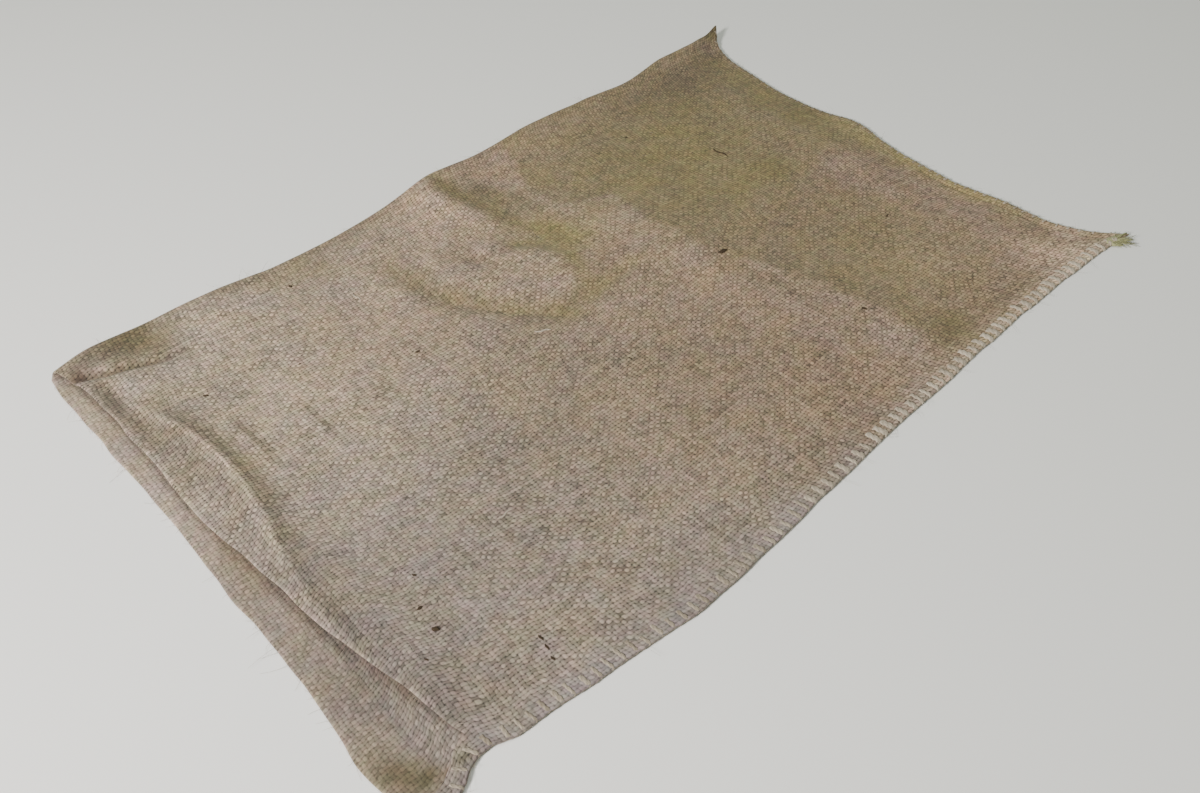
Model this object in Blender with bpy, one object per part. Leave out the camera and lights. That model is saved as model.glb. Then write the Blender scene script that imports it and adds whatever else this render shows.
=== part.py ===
"""Empty jute sack lying flat.

One cut of plain-weave jute is folded lengthwise, so the sack has an upper and a lower layer.
The left long edge is the fold. The right long edge and the far short edge are seams, where the
two layers are sewn together. The near short edge is the open mouth, hemmed to the inside. The
upper layer stops short of the lower one at the mouth, and more so towards the side seam.

The outline and the folds are laid out in centimetres: x runs from the fold to the side seam,
y from the mouth to the bottom seam, z up from the surface that the sack lies on. The finished
mesh is in metres, with its origin under the middle of the sack.
"""

from collections import namedtuple

import bmesh
import bpy
import numpy as np

# Driving dimensions, in centimetres.
LENGTH = 76.0  # mouth to bottom seam, along the middle
CLOTH = 0.12  # one layer of jute
HEM = 2.7  # depth of the hem at the mouth
SEAM_BAND = 1.0  # width of the sewn band along both seams
LAYER_GAP = 0.06  # least clearance between the layers
FOLD_STEPS = 4  # flats around the folded edge
HEM_ROWS = 4  # rows of points over the hem

METRE = 0.01  # one centimetre

# Outline. Each row is a station along an edge and the edge's place there.
Edge = namedtuple("Edge", "at place")
Fold = namedtuple("Fold", "at place height")

FOLD_EDGE = (  # at y: x of the folded edge and how high the fold stands
    Fold(0.0, -0.1, 0.70),
    Fold(3.0, -0.4, 1.20),
    Fold(7.5, -0.3, 0.80),
    Fold(13.0, -0.1, 0.90),
    Fold(20.0, 0.6, 0.60),
    Fold(26.5, 0.8, 0.55),
    Fold(32.5, 0.5, 0.85),
    Fold(38.0, -0.1, 1.60),
    Fold(43.0, -0.2, 0.90),
    Fold(51.5, -0.6, 0.85),
    Fold(58.5, -0.3, 0.80),
    Fold(64.5, 0.2, 0.60),
    Fold(71.0, -0.6, 0.70),
    Fold(75.5, -0.4, 0.80),
    Fold(80.5, -0.7, 0.35),
)
SEAM_EDGE = (  # at y: x of the side seam
    Edge(0.0, 49.7),
    Edge(3.0, 49.3),
    Edge(4.5, 48.5),
    Edge(6.0, 48.4),
    Edge(7.5, 49.0),
    Edge(10.5, 49.3),
    Edge(16.0, 50.0),
    Edge(22.5, 50.8),
    Edge(32.0, 50.6),
    Edge(40.0, 50.2),
    Edge(52.0, 50.05),
    Edge(62.0, 49.9),
    Edge(72.0, 50.1),
    Edge(76.0, 50.3),
    Edge(81.0, 51.0),
)
MOUTH_EDGE = (  # at x: y of the lower layer's mouth
    Edge(0.0, -0.2),
    Edge(3.0, -0.4),
    Edge(6.0, -0.3),
    Edge(14.0, -0.1),
    Edge(22.0, 0.1),
    Edge(28.0, -0.2),
    Edge(34.0, 0.05),
    Edge(40.0, -0.3),
    Edge(44.0, -0.6),
    Edge(50.0, 0.3),
)
LIP_EDGE = (  # at x: y of the upper layer's mouth
    Edge(0.0, 0.3),
    Edge(2.7, 0.9),
    Edge(12.5, 1.5),
    Edge(21.7, 1.6),
    Edge(29.0, 2.3),
    Edge(34.0, 2.8),
    Edge(40.0, 3.8),
    Edge(44.0, 4.7),
    Edge(50.0, 6.2),
)
BOTTOM_EDGE = (  # at x: y of the bottom seam, drawn out to a point at both corners
    Edge(-0.7, 80.2),
    Edge(1.5, 78.2),
    Edge(4.0, 77.0),
    Edge(9.0, 76.1),
    Edge(13.0, 75.7),
    Edge(19.0, 76.2),
    Edge(21.5, 77.1),
    Edge(26.0, 76.3),
    Edge(34.0, 75.6),
    Edge(41.0, 76.6),
    Edge(46.0, 77.2),
    Edge(48.3, 78.4),
    Edge(51.0, 80.8),
)

# Folds and humps of the upper layer. A ridge follows its points, with its rise at each. It falls
# away over the near width towards the mouth and over the far width towards the bottom seam. A
# negative rise is a groove.
Point = namedtuple("Point", "x y rise")
Ridge = namedtuple("Ridge", "near far crest points")
Hump = namedtuple("Hump", "x y across along rise turn")

MOUTH_CREASE = Ridge(
    near=2.4,
    far=1.0,
    crest=0.12,
    points=(
        Point(6.0, 2.0, 0.0),
        Point(9.5, 3.4, 0.22),
        Point(14.5, 4.9, 0.36),
        Point(20.0, 5.3, 0.40),
        Point(24.0, 4.8, 0.34),
        Point(28.5, 4.0, 0.22),
        Point(34.0, 3.6, 0.0),
    ),
)
LIP_TROUGH = Ridge(
    near=0.8,
    far=0.8,
    crest=0.5,
    points=(
        Point(3.0, 2.4, 0.0),
        Point(8.0, 2.7, -0.12),
        Point(16.0, 2.9, -0.10),
        Point(24.0, 3.0, 0.0),
    ),
)
PRESSED_CREASE = Ridge(
    near=1.0,
    far=0.4,
    crest=0.1,
    points=(
        Point(13.5, 8.1, 0.0),
        Point(15.5, 8.1, 0.10),
        Point(19.5, 8.1, 0.10),
        Point(22.5, 8.1, 0.0),
    ),
)
FOLD_RIDGE = Ridge(
    near=2.8,
    far=1.3,
    crest=0.35,
    points=(
        Point(-1.5, 37.6, 0.20),
        Point(2.5, 37.4, 0.40),
        Point(6.5, 37.6, 0.38),
        Point(10.0, 38.1, 0.22),
        Point(13.0, 38.5, 0.0),
    ),
)
HEART_RIGHT = Ridge(
    near=3.0,
    far=1.2,
    crest=0.5,
    points=(
        Point(10.0, 34.6, 0.0),
        Point(13.6, 36.4, 0.30),
        Point(15.9, 38.0, 0.42),
        Point(17.6, 38.9, 0.42),
        Point(19.6, 38.6, 0.28),
        Point(22.5, 37.2, 0.0),
    ),
)
HEART_LEFT = Ridge(
    near=1.3,
    far=1.3,
    crest=0.6,
    points=(
        Point(8.0, 31.4, 0.0),
        Point(10.6, 30.4, 0.24),
        Point(12.8, 30.0, 0.30),
        Point(15.0, 31.0, 0.14),
        Point(17.0, 32.0, 0.0),
    ),
)
HEART_VALLEY = Ridge(
    near=1.3,
    far=1.1,
    crest=0.35,
    points=(
        Point(5.5, 27.0, 0.0),
        Point(8.5, 27.1, -0.15),
        Point(11.5, 27.2, -0.22),
        Point(14.3, 27.5, -0.26),
        Point(18.0, 29.3, -0.26),
        Point(20.4, 31.8, -0.22),
        Point(23.5, 34.4, 0.0),
    ),
)
BROAD_CREST = Ridge(
    near=4.5,
    far=2.4,
    crest=0.7,
    points=(
        Point(9.0, 43.4, 0.04),
        Point(12.0, 44.3, 0.12),
        Point(15.0, 47.1, 0.20),
        Point(18.0, 48.4, 0.24),
        Point(22.0, 49.1, 0.25),
        Point(29.0, 51.0, 0.25),
        Point(36.5, 53.5, 0.25),
        Point(41.5, 54.5, 0.25),
        Point(47.5, 55.3, 0.05),
    ),
)
RIDGES = (
    MOUTH_CREASE,
    LIP_TROUGH,
    PRESSED_CREASE,
    FOLD_RIDGE,
    HEART_RIGHT,
    HEART_LEFT,
    HEART_VALLEY,
    BROAD_CREST,
)
HUMPS = (
    Hump(x=16.4, y=34.7, across=3.6, along=3.0, rise=0.28, turn=15.0),  # right lobe of the heart
    Hump(x=11.8, y=33.0, across=1.5, along=0.8, rise=-0.34, turn=10.0),  # dimple between the lobes
    Hump(x=13.4, y=36.6, across=1.4, along=0.9, rise=-0.16, turn=35.0),  # its tail
    Hump(x=22.8, y=37.5, across=1.4, along=5.0, rise=-0.12, turn=0.0),  # hollow beside the heart
    Hump(x=2.2, y=7.0, across=2.2, along=1.8, rise=-0.18, turn=0.0),  # hollow behind the corner roll
    Hump(x=3.2, y=13.0, across=3.0, along=2.4, rise=0.16, turn=0.0),
    Hump(x=46.2, y=61.5, across=1.7, along=4.5, rise=-0.24, turn=0.0),  # pocket beside the side seam
    Hump(x=47.3, y=75.0, across=3.0, along=3.6, rise=0.34, turn=0.0),  # raised bottom corner
    Hump(x=27.0, y=68.0, across=4.0, along=6.0, rise=0.10, turn=10.0),
    Hump(x=16.0, y=66.0, across=3.0, along=5.0, rise=0.08, turn=-20.0),
    Hump(x=39.0, y=66.0, across=5.0, along=4.0, rise=0.08, turn=0.0),
)
CORNER_GROOVE = (  # groove beside the rolled fold at the mouth corner: at y, its x and its rise
    Fold(0.0, 2.2, -0.10),
    Fold(1.2, 2.4, -0.30),
    Fold(3.0, 3.2, -0.34),
    Fold(5.0, 4.0, -0.20),
    Fold(7.5, 5.4, 0.0),
)
GROOVE_WIDTH = 0.7

# Loft of the upper layer above the lower one.
FIELD_LOFT = 0.54  # in the middle of the sack
SEAM_RAMP = 5.0  # the loft is reached this far from a seam
LIP_LOFT = 0.34  # more where the mouth stands open, towards the side seam
LIP_START = 24.0  # x where the mouth starts to open
LIP_RAMP = 9.0  # and how much further it is fully open
LIP_REACH = 12.0  # how far in from the mouth that still lifts the upper layer
FAR_SINK = -0.24  # less in the far third
FAR_START = 52.0  # y where the far third starts to sink
FAR_RAMP = 8.0
HEM_LIFT = 2 * CLOTH  # where the two hems lie on each other
HEM_FADE = 2.0  # how softly that falls off behind the hem
HEM_SLOPE = 0.2  # length of the step from double to single cloth
FOLD_REACH = 2.6  # how far the folded edge's own height reaches in
FOLD_SHAPE = 1.3  # over 1 for a shoulder beside the fold
RELIEF_START = 0.8  # folds and humps start this far from the folded edge

# Steps of the mesh, each from its start on: finest over the mouth, the fold and the heart.
Step = namedtuple("Step", "start size")
ACROSS = (Step(0.0, 0.9), Step(2.7, 1.25), Step(21.0, 2.1), Step(43.0, 1.5))
ALONG = (Step(HEM, 0.75), Step(8.5, 1.9), Step(26.0, 1.2), Step(41.0, 1.9), Step(56.0, 2.6))


def smoothstep(t):
    t = np.clip(t, 0.0, 1.0)
    return t * t * (3.0 - 2.0 * t)


def along_table(table, column, at):
    """A smooth curve through one column of a table, held level past both of its ends."""
    known = np.array([row[0] for row in table])
    value = np.array([getattr(row, column) for row in table])
    slope = np.gradient(value, known)
    at = np.clip(at, known[0], known[-1])
    left = np.clip(np.searchsorted(known, at, side="right") - 1, 0, len(known) - 2)
    span = known[left + 1] - known[left]
    t = (at - known[left]) / span
    start = value[left] * (1 + 2 * t) + span * slope[left] * t
    end = value[left + 1] * (3 - 2 * t) - span * slope[left + 1] * (1 - t)
    return start * (1 - t) ** 2 + end * t**2


def ridge_height(ridge, x, y):
    centre = along_table(ridge.points, "y", x)
    rise = along_table(ridge.points, "rise", x)
    rise = np.where((x < ridge.points[0].x) | (x > ridge.points[-1].x), 0.0, rise)
    away = y - centre
    width = np.where(away < 0, ridge.near, ridge.far)
    rounded = np.sqrt(away**2 + ridge.crest**2) - ridge.crest
    return rise * np.exp(-rounded / width)


def hump_height(hump, x, y):
    turn = np.radians(hump.turn)
    across = (x - hump.x) * np.cos(turn) + (y - hump.y) * np.sin(turn)
    along = (y - hump.y) * np.cos(turn) - (x - hump.x) * np.sin(turn)
    return hump.rise * np.exp(-((across / hump.across) ** 2) - (along / hump.along) ** 2)


def groove_height(x, y):
    centre = along_table(CORNER_GROOVE, "place", y)
    depth = along_table(CORNER_GROOVE, "height", y)
    return depth * np.exp(-(((x - centre) / GROOVE_WIDTH) ** 2))


def fold_start(y):
    """x where the upper layer leaves the rounding of the folded edge."""
    edge = along_table(FOLD_EDGE, "place", y)
    return edge + along_table(FOLD_EDGE, "height", y) / 2


def upper_height(x, y):
    """Height of the upper layer's outer face."""
    seamed = 2 * CLOTH + LAYER_GAP
    from_seam = along_table(SEAM_EDGE, "place", y) - x - SEAM_BAND
    from_bottom = along_table(BOTTOM_EDGE, "place", x) - y - SEAM_BAND
    from_lip = y - along_table(LIP_EDGE, "place", x)
    clear = smoothstep(from_seam / SEAM_RAMP) * smoothstep(from_bottom / SEAM_RAMP)
    near_lip = np.exp(-((np.maximum(from_lip, 0.0) / LIP_REACH) ** 2))
    near_hem = np.exp(-((np.maximum(from_lip - HEM, 0.0) / HEM_FADE) ** 2))
    loft = FIELD_LOFT + FAR_SINK * smoothstep((y - FAR_START) / FAR_RAMP)
    loft = loft + LIP_LOFT * near_lip * smoothstep((x - LIP_START) / LIP_RAMP)
    loft = loft + HEM_LIFT * near_hem
    height = seamed + loft * clear
    fold = along_table(FOLD_EDGE, "height", y)
    from_fold = np.maximum(x - fold_start(y), 0.0)
    height = height + (fold - height) * np.exp(-((from_fold / FOLD_REACH) ** FOLD_SHAPE))
    relief = sum(ridge_height(ridge, x, y) for ridge in RIDGES)
    relief = relief + sum(hump_height(hump, x, y) for hump in HUMPS) + groove_height(x, y)
    return height + relief * clear * smoothstep(from_fold / RELIEF_START)


def stations(steps, end):
    """Places from the first step's start up to the end, evenly spread within each step."""
    places = []
    limits = [step.start for step in steps[1:]] + [end]
    for step, limit in zip(steps, limits):
        count = max(1, round((limit - step.start) / step.size))
        places += list(np.linspace(step.start, limit, count, endpoint=False))
    return places + [end]


def layer_plan(mouth, across, along):
    """x and y of a layer's points, rows along the sack by columns across it, from its mouth."""
    share = np.array(along)[:, None] / LENGTH
    x = np.array(across)[None, :] + 0.0 * share
    for _ in range(3):
        start = along_table(mouth, "place", x)
        y = start + (along_table(BOTTOM_EDGE, "place", x) - start) * share
        left = fold_start(y)
        width = along_table(SEAM_EDGE, "place", y) - left
        x = left + width * np.array(across)[None, :] / across[-1]
    return x, y


def points_of(x, y, z):
    return np.stack([x, y, z + 0.0 * x], axis=-1)


def fold_arc(lower, upper):
    """Points around the folded edge between the lower and the upper layer's first columns."""
    arc = []
    for step in range(1, FOLD_STEPS):
        angle = np.pi * step / FOLD_STEPS
        radius = (upper[:, 2] - lower[:, 2]) / 2
        share = step / FOLD_STEPS
        x = lower[:, 0] * (1 - share) + upper[:, 0] * share - radius * np.sin(angle)
        y = lower[:, 1] * (1 - share) + upper[:, 1] * share
        z = lower[:, 2] + radius * (1 - np.cos(angle))
        arc.append(np.stack([x, y, z], axis=-1))
    return np.stack(arc, axis=1)


def rings():
    """Outer and inner points, one ring around the sack for each row.

    A ring runs over the lower layer from the seam to the fold, around the fold and over the upper
    layer back to the seam. The outer ring ends with the middle of the seam's edge. The inner ring
    leaves out the seam's sewn band, and the inner rows leave out the bottom seam's.
    """
    width = SEAM_EDGE[0].place
    across = stations(ACROSS, width - SEAM_BAND) + [width]
    hem = list(np.linspace(0.0, HEM - HEM_SLOPE, HEM_ROWS))
    along = hem + stations(ALONG, LENGTH - SEAM_BAND) + [LENGTH]
    low_x, low_y = layer_plan(MOUTH_EDGE, across, along)
    top_x, top_y = layer_plan(LIP_EDGE, across, along)

    in_hem = (np.arange(len(along)) < HEM_ROWS)[:, None]
    in_field = (np.arange(len(across)) < len(across) - 2)[None, :]
    wall = CLOTH * (1.0 + in_hem * in_field)
    low_out = points_of(low_x, low_y, 0.0)
    low_in = points_of(low_x, low_y, wall)
    height = np.maximum(upper_height(top_x, top_y), 2 * wall + LAYER_GAP)
    height[:, -1] = 2 * CLOTH
    height[-1, :] = 2 * CLOTH
    top_out = points_of(top_x, top_y, height)
    top_in = points_of(top_x, top_y, height - wall)

    edge = low_out[:, -1:].copy()
    edge[..., 2] = CLOTH
    outer_arc = fold_arc(low_out[:, 0], top_out[:, 0])
    inner_arc = fold_arc(low_in[:, 0], top_in[:, 0])
    outer = np.concatenate([low_out[:, ::-1], outer_arc, top_out, edge], axis=1)
    inner = np.concatenate([low_in[:, -2::-1], inner_arc, top_in[:, :-1]], axis=1)
    return outer, inner[:-1], len(across)


def strip(mesh, first, second):
    """Faces between two open rows of equally many vertices."""
    for i in range(len(first) - 1):
        mesh.faces.new((first[i], first[i + 1], second[i + 1], second[i]))


def build_sack():
    outer, inner, columns = rings()
    middle = (outer.reshape(-1, 3).max(axis=0) + outer.reshape(-1, 3).min(axis=0)) / 2
    middle[2] = 0.0
    mesh = bmesh.new()

    def rows_of(points):
        return [[mesh.verts.new((p - middle) * METRE) for p in row] for row in points]

    outer_rows = rows_of(outer)
    inner_rows = rows_of(inner)

    # The outer shell: the fold and the upper layer in strips, the flat underside as one face.
    for near, far in zip(outer_rows, outer_rows[1:]):
        strip(mesh, near[columns - 1 :] + near[:1], far[columns - 1 :] + far[:1])
    fold_side = [row[columns - 1] for row in outer_rows[1:-1]]
    seam_side = [row[0] for row in outer_rows[1:-1]]
    mouth_side = outer_rows[0][:columns]
    far_side = outer_rows[-1][:columns]
    underside = mesh.faces.new(mouth_side + fold_side + far_side[::-1] + seam_side[::-1])

    # The inner shell: the hem in strips, the rest of the flat floor as one face.
    inner_columns = columns - 1
    for row, (near, far) in enumerate(zip(inner_rows, inner_rows[1:])):
        strip(mesh, far[inner_columns - 1 :] + far[:1], near[inner_columns - 1 :] + near[:1])
        if row < HEM_ROWS:
            strip(mesh, far[:inner_columns], near[:inner_columns])
    fold_side = [row[inner_columns - 1] for row in inner_rows[HEM_ROWS + 1 : -1]]
    seam_side = [row[0] for row in inner_rows[HEM_ROWS + 1 : -1]]
    near_side = inner_rows[HEM_ROWS][:inner_columns]
    far_side = inner_rows[-1][:inner_columns]
    floor = mesh.faces.new(seam_side + far_side + fold_side[::-1] + near_side[::-1])

    # The mouth's rim, from the outer to the inner shell.
    outer_mouth = outer_rows[0]
    inner_mouth = inner_rows[0]
    strip(mesh, inner_mouth, outer_mouth[1:-2])
    low_in, top_in = inner_mouth[0], inner_mouth[-1]
    low_band, low_edge = outer_mouth[1], outer_mouth[0]
    top_band, top_edge, mid_edge = outer_mouth[-3], outer_mouth[-2], outer_mouth[-1]
    mesh.faces.new((low_band, low_in, mid_edge, low_edge))
    mesh.faces.new((low_in, top_in, top_edge))
    mesh.faces.new((low_in, top_edge, mid_edge))
    mesh.faces.new((top_in, top_band, top_edge))

    # Both shells are closed at the bottom seam, each point below to the one above.
    for ring, count, flip in ((outer_rows[-1], columns, False), (inner_rows[-1], inner_columns, True)):
        below = ring[count - 1 :: -1]
        above = ring[count + FOLD_STEPS - 1 : 2 * count + FOLD_STEPS - 1]
        tip = [below[0]] + ring[count : count + FOLD_STEPS - 1] + [above[0]]
        if flip:
            strip(mesh, above, below)
            mesh.faces.new(tip)
        else:
            strip(mesh, below, above)
            mesh.faces.new(tip[::-1])
            mesh.faces.new((below[-1], ring[-1], above[-1]))

    bmesh.ops.triangulate(mesh, faces=[underside, floor], ngon_method="BEAUTY")
    bmesh.ops.recalc_face_normals(mesh, faces=mesh.faces)
    data = bpy.data.meshes.new("sack_cloth")
    mesh.to_mesh(data)
    mesh.free()
    data.shade_smooth()
    data.set_sharp_from_angle(angle=np.radians(50.0))
    sack = bpy.data.objects.new("sack_cloth", data)
    bpy.context.scene.collection.objects.link(sack)
    return sack


def jute_material():
    material = bpy.data.materials.new("jute")
    material.use_nodes = True
    shader = material.node_tree.nodes["Principled BSDF"]
    shader.inputs["Base Color"].default_value = (0.36, 0.28, 0.19, 1.0)
    shader.inputs["Roughness"].default_value = 0.9
    shader.inputs["Metallic"].default_value = 0.0
    return material


def main():
    for obj in list(bpy.data.objects):
        bpy.data.objects.remove(obj, do_unlink=True)
    sack = build_sack()
    sack.data.materials.append(jute_material())


main()
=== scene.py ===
"""The look of an empty jute sack that lies flat: its cloth, its sewing, a floor, lights and camera.

The cloth is laid out in centimetres: x runs from the folded edge to the side seam, y from the open
mouth to the bottom seam and z up from the floor. Its meshes are in metres in the frame's own axes.
"""

from collections import namedtuple

import bmesh
import bpy
import numpy as np
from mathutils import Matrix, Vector


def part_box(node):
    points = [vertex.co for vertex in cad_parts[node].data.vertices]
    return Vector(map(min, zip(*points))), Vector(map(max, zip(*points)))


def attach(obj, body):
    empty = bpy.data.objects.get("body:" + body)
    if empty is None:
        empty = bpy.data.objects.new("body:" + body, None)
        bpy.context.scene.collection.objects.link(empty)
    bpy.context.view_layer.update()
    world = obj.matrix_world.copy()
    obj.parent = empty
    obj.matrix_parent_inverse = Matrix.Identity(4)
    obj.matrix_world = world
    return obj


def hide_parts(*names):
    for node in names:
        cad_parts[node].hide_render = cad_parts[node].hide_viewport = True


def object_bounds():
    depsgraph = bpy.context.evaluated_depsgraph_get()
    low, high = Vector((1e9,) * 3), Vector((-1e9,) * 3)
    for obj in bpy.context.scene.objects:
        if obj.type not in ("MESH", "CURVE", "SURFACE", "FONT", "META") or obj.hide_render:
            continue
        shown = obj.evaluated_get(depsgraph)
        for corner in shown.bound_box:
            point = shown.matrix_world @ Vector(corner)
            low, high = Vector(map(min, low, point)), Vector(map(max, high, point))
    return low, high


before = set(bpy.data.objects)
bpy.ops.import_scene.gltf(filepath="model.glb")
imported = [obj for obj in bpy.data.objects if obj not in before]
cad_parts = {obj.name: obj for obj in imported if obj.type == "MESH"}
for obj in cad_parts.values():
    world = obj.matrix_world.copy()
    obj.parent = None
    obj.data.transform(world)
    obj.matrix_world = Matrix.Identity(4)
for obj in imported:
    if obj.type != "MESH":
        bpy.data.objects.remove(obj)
CAD_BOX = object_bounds()
CLOTH_NODE = "sack_cloth"

CENTIMETRE = 0.01  # in metres

Place = namedtuple("Place", "x y")

# The sack's sizes, in centimetres.
WIDTH = 49.6  # folded edge to side seam
LENGTH = 76.0  # mouth to bottom seam, along the middle
CLOTH = 0.12  # one layer of jute
HEM = 2.7  # depth of the hem at the mouth
HEM_SLOPE = 0.25  # length of the step from double to single cloth
LAYER_GAP = 0.06  # least clearance between the layers
BAND = 1.05  # width of the sewn band along both seams
BAND_EDGE = 0.17  # rounding of the band's outer edge, half its thickness
BAND_LIFT = 0.05  # how far the yarn below the band lifts it off the floor
NEEDLE_LINE = 0.11  # how far the stitches pull the cloth down behind the band
NEEDLE_WIDTH = 0.14  # and how wide that groove is
FIELD_RAMP = 2.0  # how far behind the band the upper layer comes up to its own height
NEEDLE_START = Place(25.0, 50.0)  # the groove is drawn in fully beyond these, and fades towards them
NEEDLE_RAMP = 12.0
STITCH = 1.0  # from one stitch to the next
SCALLOP = 0.035  # how far each stitch draws the edge in
WARP_PITCH = 0.268  # between the yarns that run from the mouth to the bottom
WEFT_PITCH = 0.335  # between the yarns that run across
PLAN_CORNER = (-0.596, -0.584)  # lowest corner of the sack's box in its plan


def rows_of(kind, *rows):
    """A table with the columns that its kind of row names."""
    return tuple(kind(*row) for row in rows)


# Outline. Each row is a station along an edge and the edge's place there.
Edge = namedtuple("Edge", "at place")
Fold = namedtuple("Fold", "at place height")

FOLD_EDGE = rows_of(  # at y: x of the folded edge and how high the fold stands
    Fold, (0, -0.1, 0.7), (3, -0.4, 1.2), (7.5, -0.3, 0.8), (13, -0.1, 0.9), (20, 0.6, 0.6),
    (26.5, 0.8, 0.55), (32.5, 0.5, 0.85), (38, -0.1, 1.6), (43, -0.2, 0.9), (51.5, -0.6, 0.85),
    (58.5, -0.3, 0.8), (64.5, 0.2, 0.6), (71, -0.6, 0.7), (75.5, -0.4, 0.8), (80.5, -0.7, 0.35),
)
SEAM_EDGE = rows_of(  # at y: x of the side seam
    Edge, (0, 49.7), (3, 49.3), (4.5, 48.5), (6, 48.4), (7.5, 49), (10.5, 49.3), (16, 50),
    (22.5, 50.8), (32, 50.6), (40, 50.2), (52, 50.05), (62, 49.9), (72, 50.1), (76, 50.3), (81, 51),
)
MOUTH_EDGE = rows_of(  # at x: y of the lower layer's mouth
    Edge, (0, -0.2), (3, -0.4), (6, -0.3), (14, -0.1), (22, 0.1), (28, -0.2), (34, 0.05),
    (40, -0.3), (44, -0.6), (50, 0.3),
)
LIP_EDGE = rows_of(  # at x: y of the upper layer's mouth
    Edge, (0, 0.3), (2.7, 0.9), (12.5, 1.5), (21.7, 1.6), (29, 2.3), (34, 2.8), (40, 3.8),
    (44, 4.7), (50, 6.2),
)
BOTTOM_EDGE = rows_of(  # at x: y of the bottom seam, drawn out to a point at both corners
    Edge, (-0.7, 80.2), (1.5, 78.2), (4, 77), (9, 76.1), (13, 75.7), (19, 76.2), (21.5, 77.1),
    (26, 76.3), (34, 75.6), (41, 76.6), (46, 77.2), (48.3, 78.4), (51, 80.8),
)

# Folds and humps of the upper layer. A ridge follows its points, with its rise at each. It falls
# away over the near width towards the mouth and over the far width towards the bottom seam. A
# negative rise is a groove.
Point = namedtuple("Point", "x y rise")
Ridge = namedtuple("Ridge", "near far crest points")
Hump = namedtuple("Hump", "x y across along rise turn", defaults=(0.0,))


def ridge(*points, near, far, crest):
    return Ridge(near, far, crest, rows_of(Point, *points))


MOUTH_CREASE = ridge(
    (6, 2, 0), (9.5, 3.4, 0.22), (14.5, 4.9, 0.38), (20, 5.3, 0.42), (24, 4.9, 0.36),
    (28.5, 3.9, 0.24), (33, 3.4, 0.12), (38, 3.4, 0), near=2.2, far=0.9, crest=0.08,
)
CREASE_PINCH = ridge(  # the sharp line on top of the mouth crease
    (5.5, 1.9, 0), (9.5, 3.4, 0.07), (14.5, 4.9, 0.11), (20, 5.3, 0.11), (24, 4.9, 0.11),
    (28.5, 3.9, 0.1), (33, 3.4, 0.08), (37.5, 3.4, 0), near=0.30, far=0.26, crest=0.05,
)
LIP_TROUGH = ridge(
    (2.6, 1.9, 0), (5, 2.3, -0.24), (9, 2.6, -0.26), (14, 2.8, -0.12), (20, 3, 0),
    near=0.8, far=0.9, crest=0.3,
)
PRESSED_CREASE = ridge(
    (13.5, 8.1, 0), (15.5, 7.8, 0.15), (18.3, 8, 0.15), (21.5, 8.2, 0),
    near=1.0, far=0.35, crest=0.06,
)
THIRD_CREASE = ridge(
    (15.5, 12.5, 0), (18, 12.6, 0.09), (20.6, 12.7, 0.09), (23, 12.8, 0),
    near=0.9, far=0.5, crest=0.1,
)
FOLD_RIDGE = ridge(
    (-1.5, 37.2, 0.2), (2.5, 36.5, 0.46), (6.5, 37.3, 0.46), (10, 37.9, 0.3), (13, 38, 0),
    near=2.8, far=1.2, crest=0.3,
)
HEART_RIGHT = ridge(
    (10, 34.6, 0), (13.6, 36.4, 0.42), (15.9, 38, 0.56), (17.6, 38.9, 0.56), (19.6, 38.6, 0.4),
    (22.5, 37.2, 0), near=3.0, far=1.1, crest=0.4,
)
HEART_LEFT = ridge(
    (8, 31.4, 0), (10.6, 30.4, 0.34), (12.8, 30, 0.42), (15, 31, 0.24), (17, 32, 0),
    near=1.3, far=1.3, crest=0.5,
)
HEART_VALLEY = ridge(
    (5.5, 27, 0), (8.5, 27.1, -0.22), (11.5, 27.6, -0.32), (14.3, 28.2, -0.36), (18, 30.2, -0.36),
    (20.4, 32.1, -0.34), (23, 34.4, -0.26), (25.5, 36.2, 0), near=1.3, far=1.1, crest=0.3,
)
BROAD_CREST = ridge(
    (9, 43.4, 0.04), (12, 44.3, 0.12), (15, 47.1, 0.2), (18, 48.4, 0.3), (22, 49.1, 0.32),
    (29, 51, 0.32), (36.5, 53.5, 0.32), (41.5, 54.5, 0.3), (47.5, 55.3, 0.05),
    near=4.5, far=2.2, crest=0.6,
)
RIDGES = (MOUTH_CREASE, CREASE_PINCH, LIP_TROUGH, PRESSED_CREASE, THIRD_CREASE)
RIDGES += (FOLD_RIDGE, HEART_RIGHT, HEART_LEFT, HEART_VALLEY, BROAD_CREST)
HUMPS = rows_of(
    Hump,
    (16.4, 34.7, 3.6, 3, 0.28, 15),  # right lobe of the heart
    (17.6, 45.6, 3.2, 2.6, 0.2),  # lobe in front of the far part
    (26.5, 47.6, 3.5, 2.2, 0.12),
    (13, 33.6, 1.5, 0.8, -0.42, 10),  # dimple between the lobes
    (14, 36.8, 0.7, 2, -0.2, -12),  # its tail
    (22.8, 38.5, 1.4, 5, -0.2),  # hollow beside the heart
    (2.2, 7, 2.2, 1.8, -0.18),  # hollow behind the corner roll
    (3.2, 13, 3, 2.4, 0.16),
    (46.4, 58, 1.7, 2.2, -0.22),  # pocket beside the side seam
    (47.3, 75, 3, 3.6, 0.34),  # raised bottom corner
    (27, 68, 4, 6, 0.1, 10), (16, 66, 3, 5, 0.08, -20), (39, 66, 5, 4, 0.08),
)
CORNER_GROOVE = rows_of(  # beside the rolled fold at the mouth corner: at y, its x and its rise
    Fold, (0, 2.1, -0.2), (1.2, 2.5, -0.46), (3, 3.4, -0.46), (5, 4.1, -0.4), (7, 4.9, -0.26),
    (9, 5.7, 0),
)
GROOVE_WIDTH = 0.42
CORNER_EAR = Hump(x=-0.6, y=80.2, across=1.7, along=2.3, rise=1.0)  # both layers turn up

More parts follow.
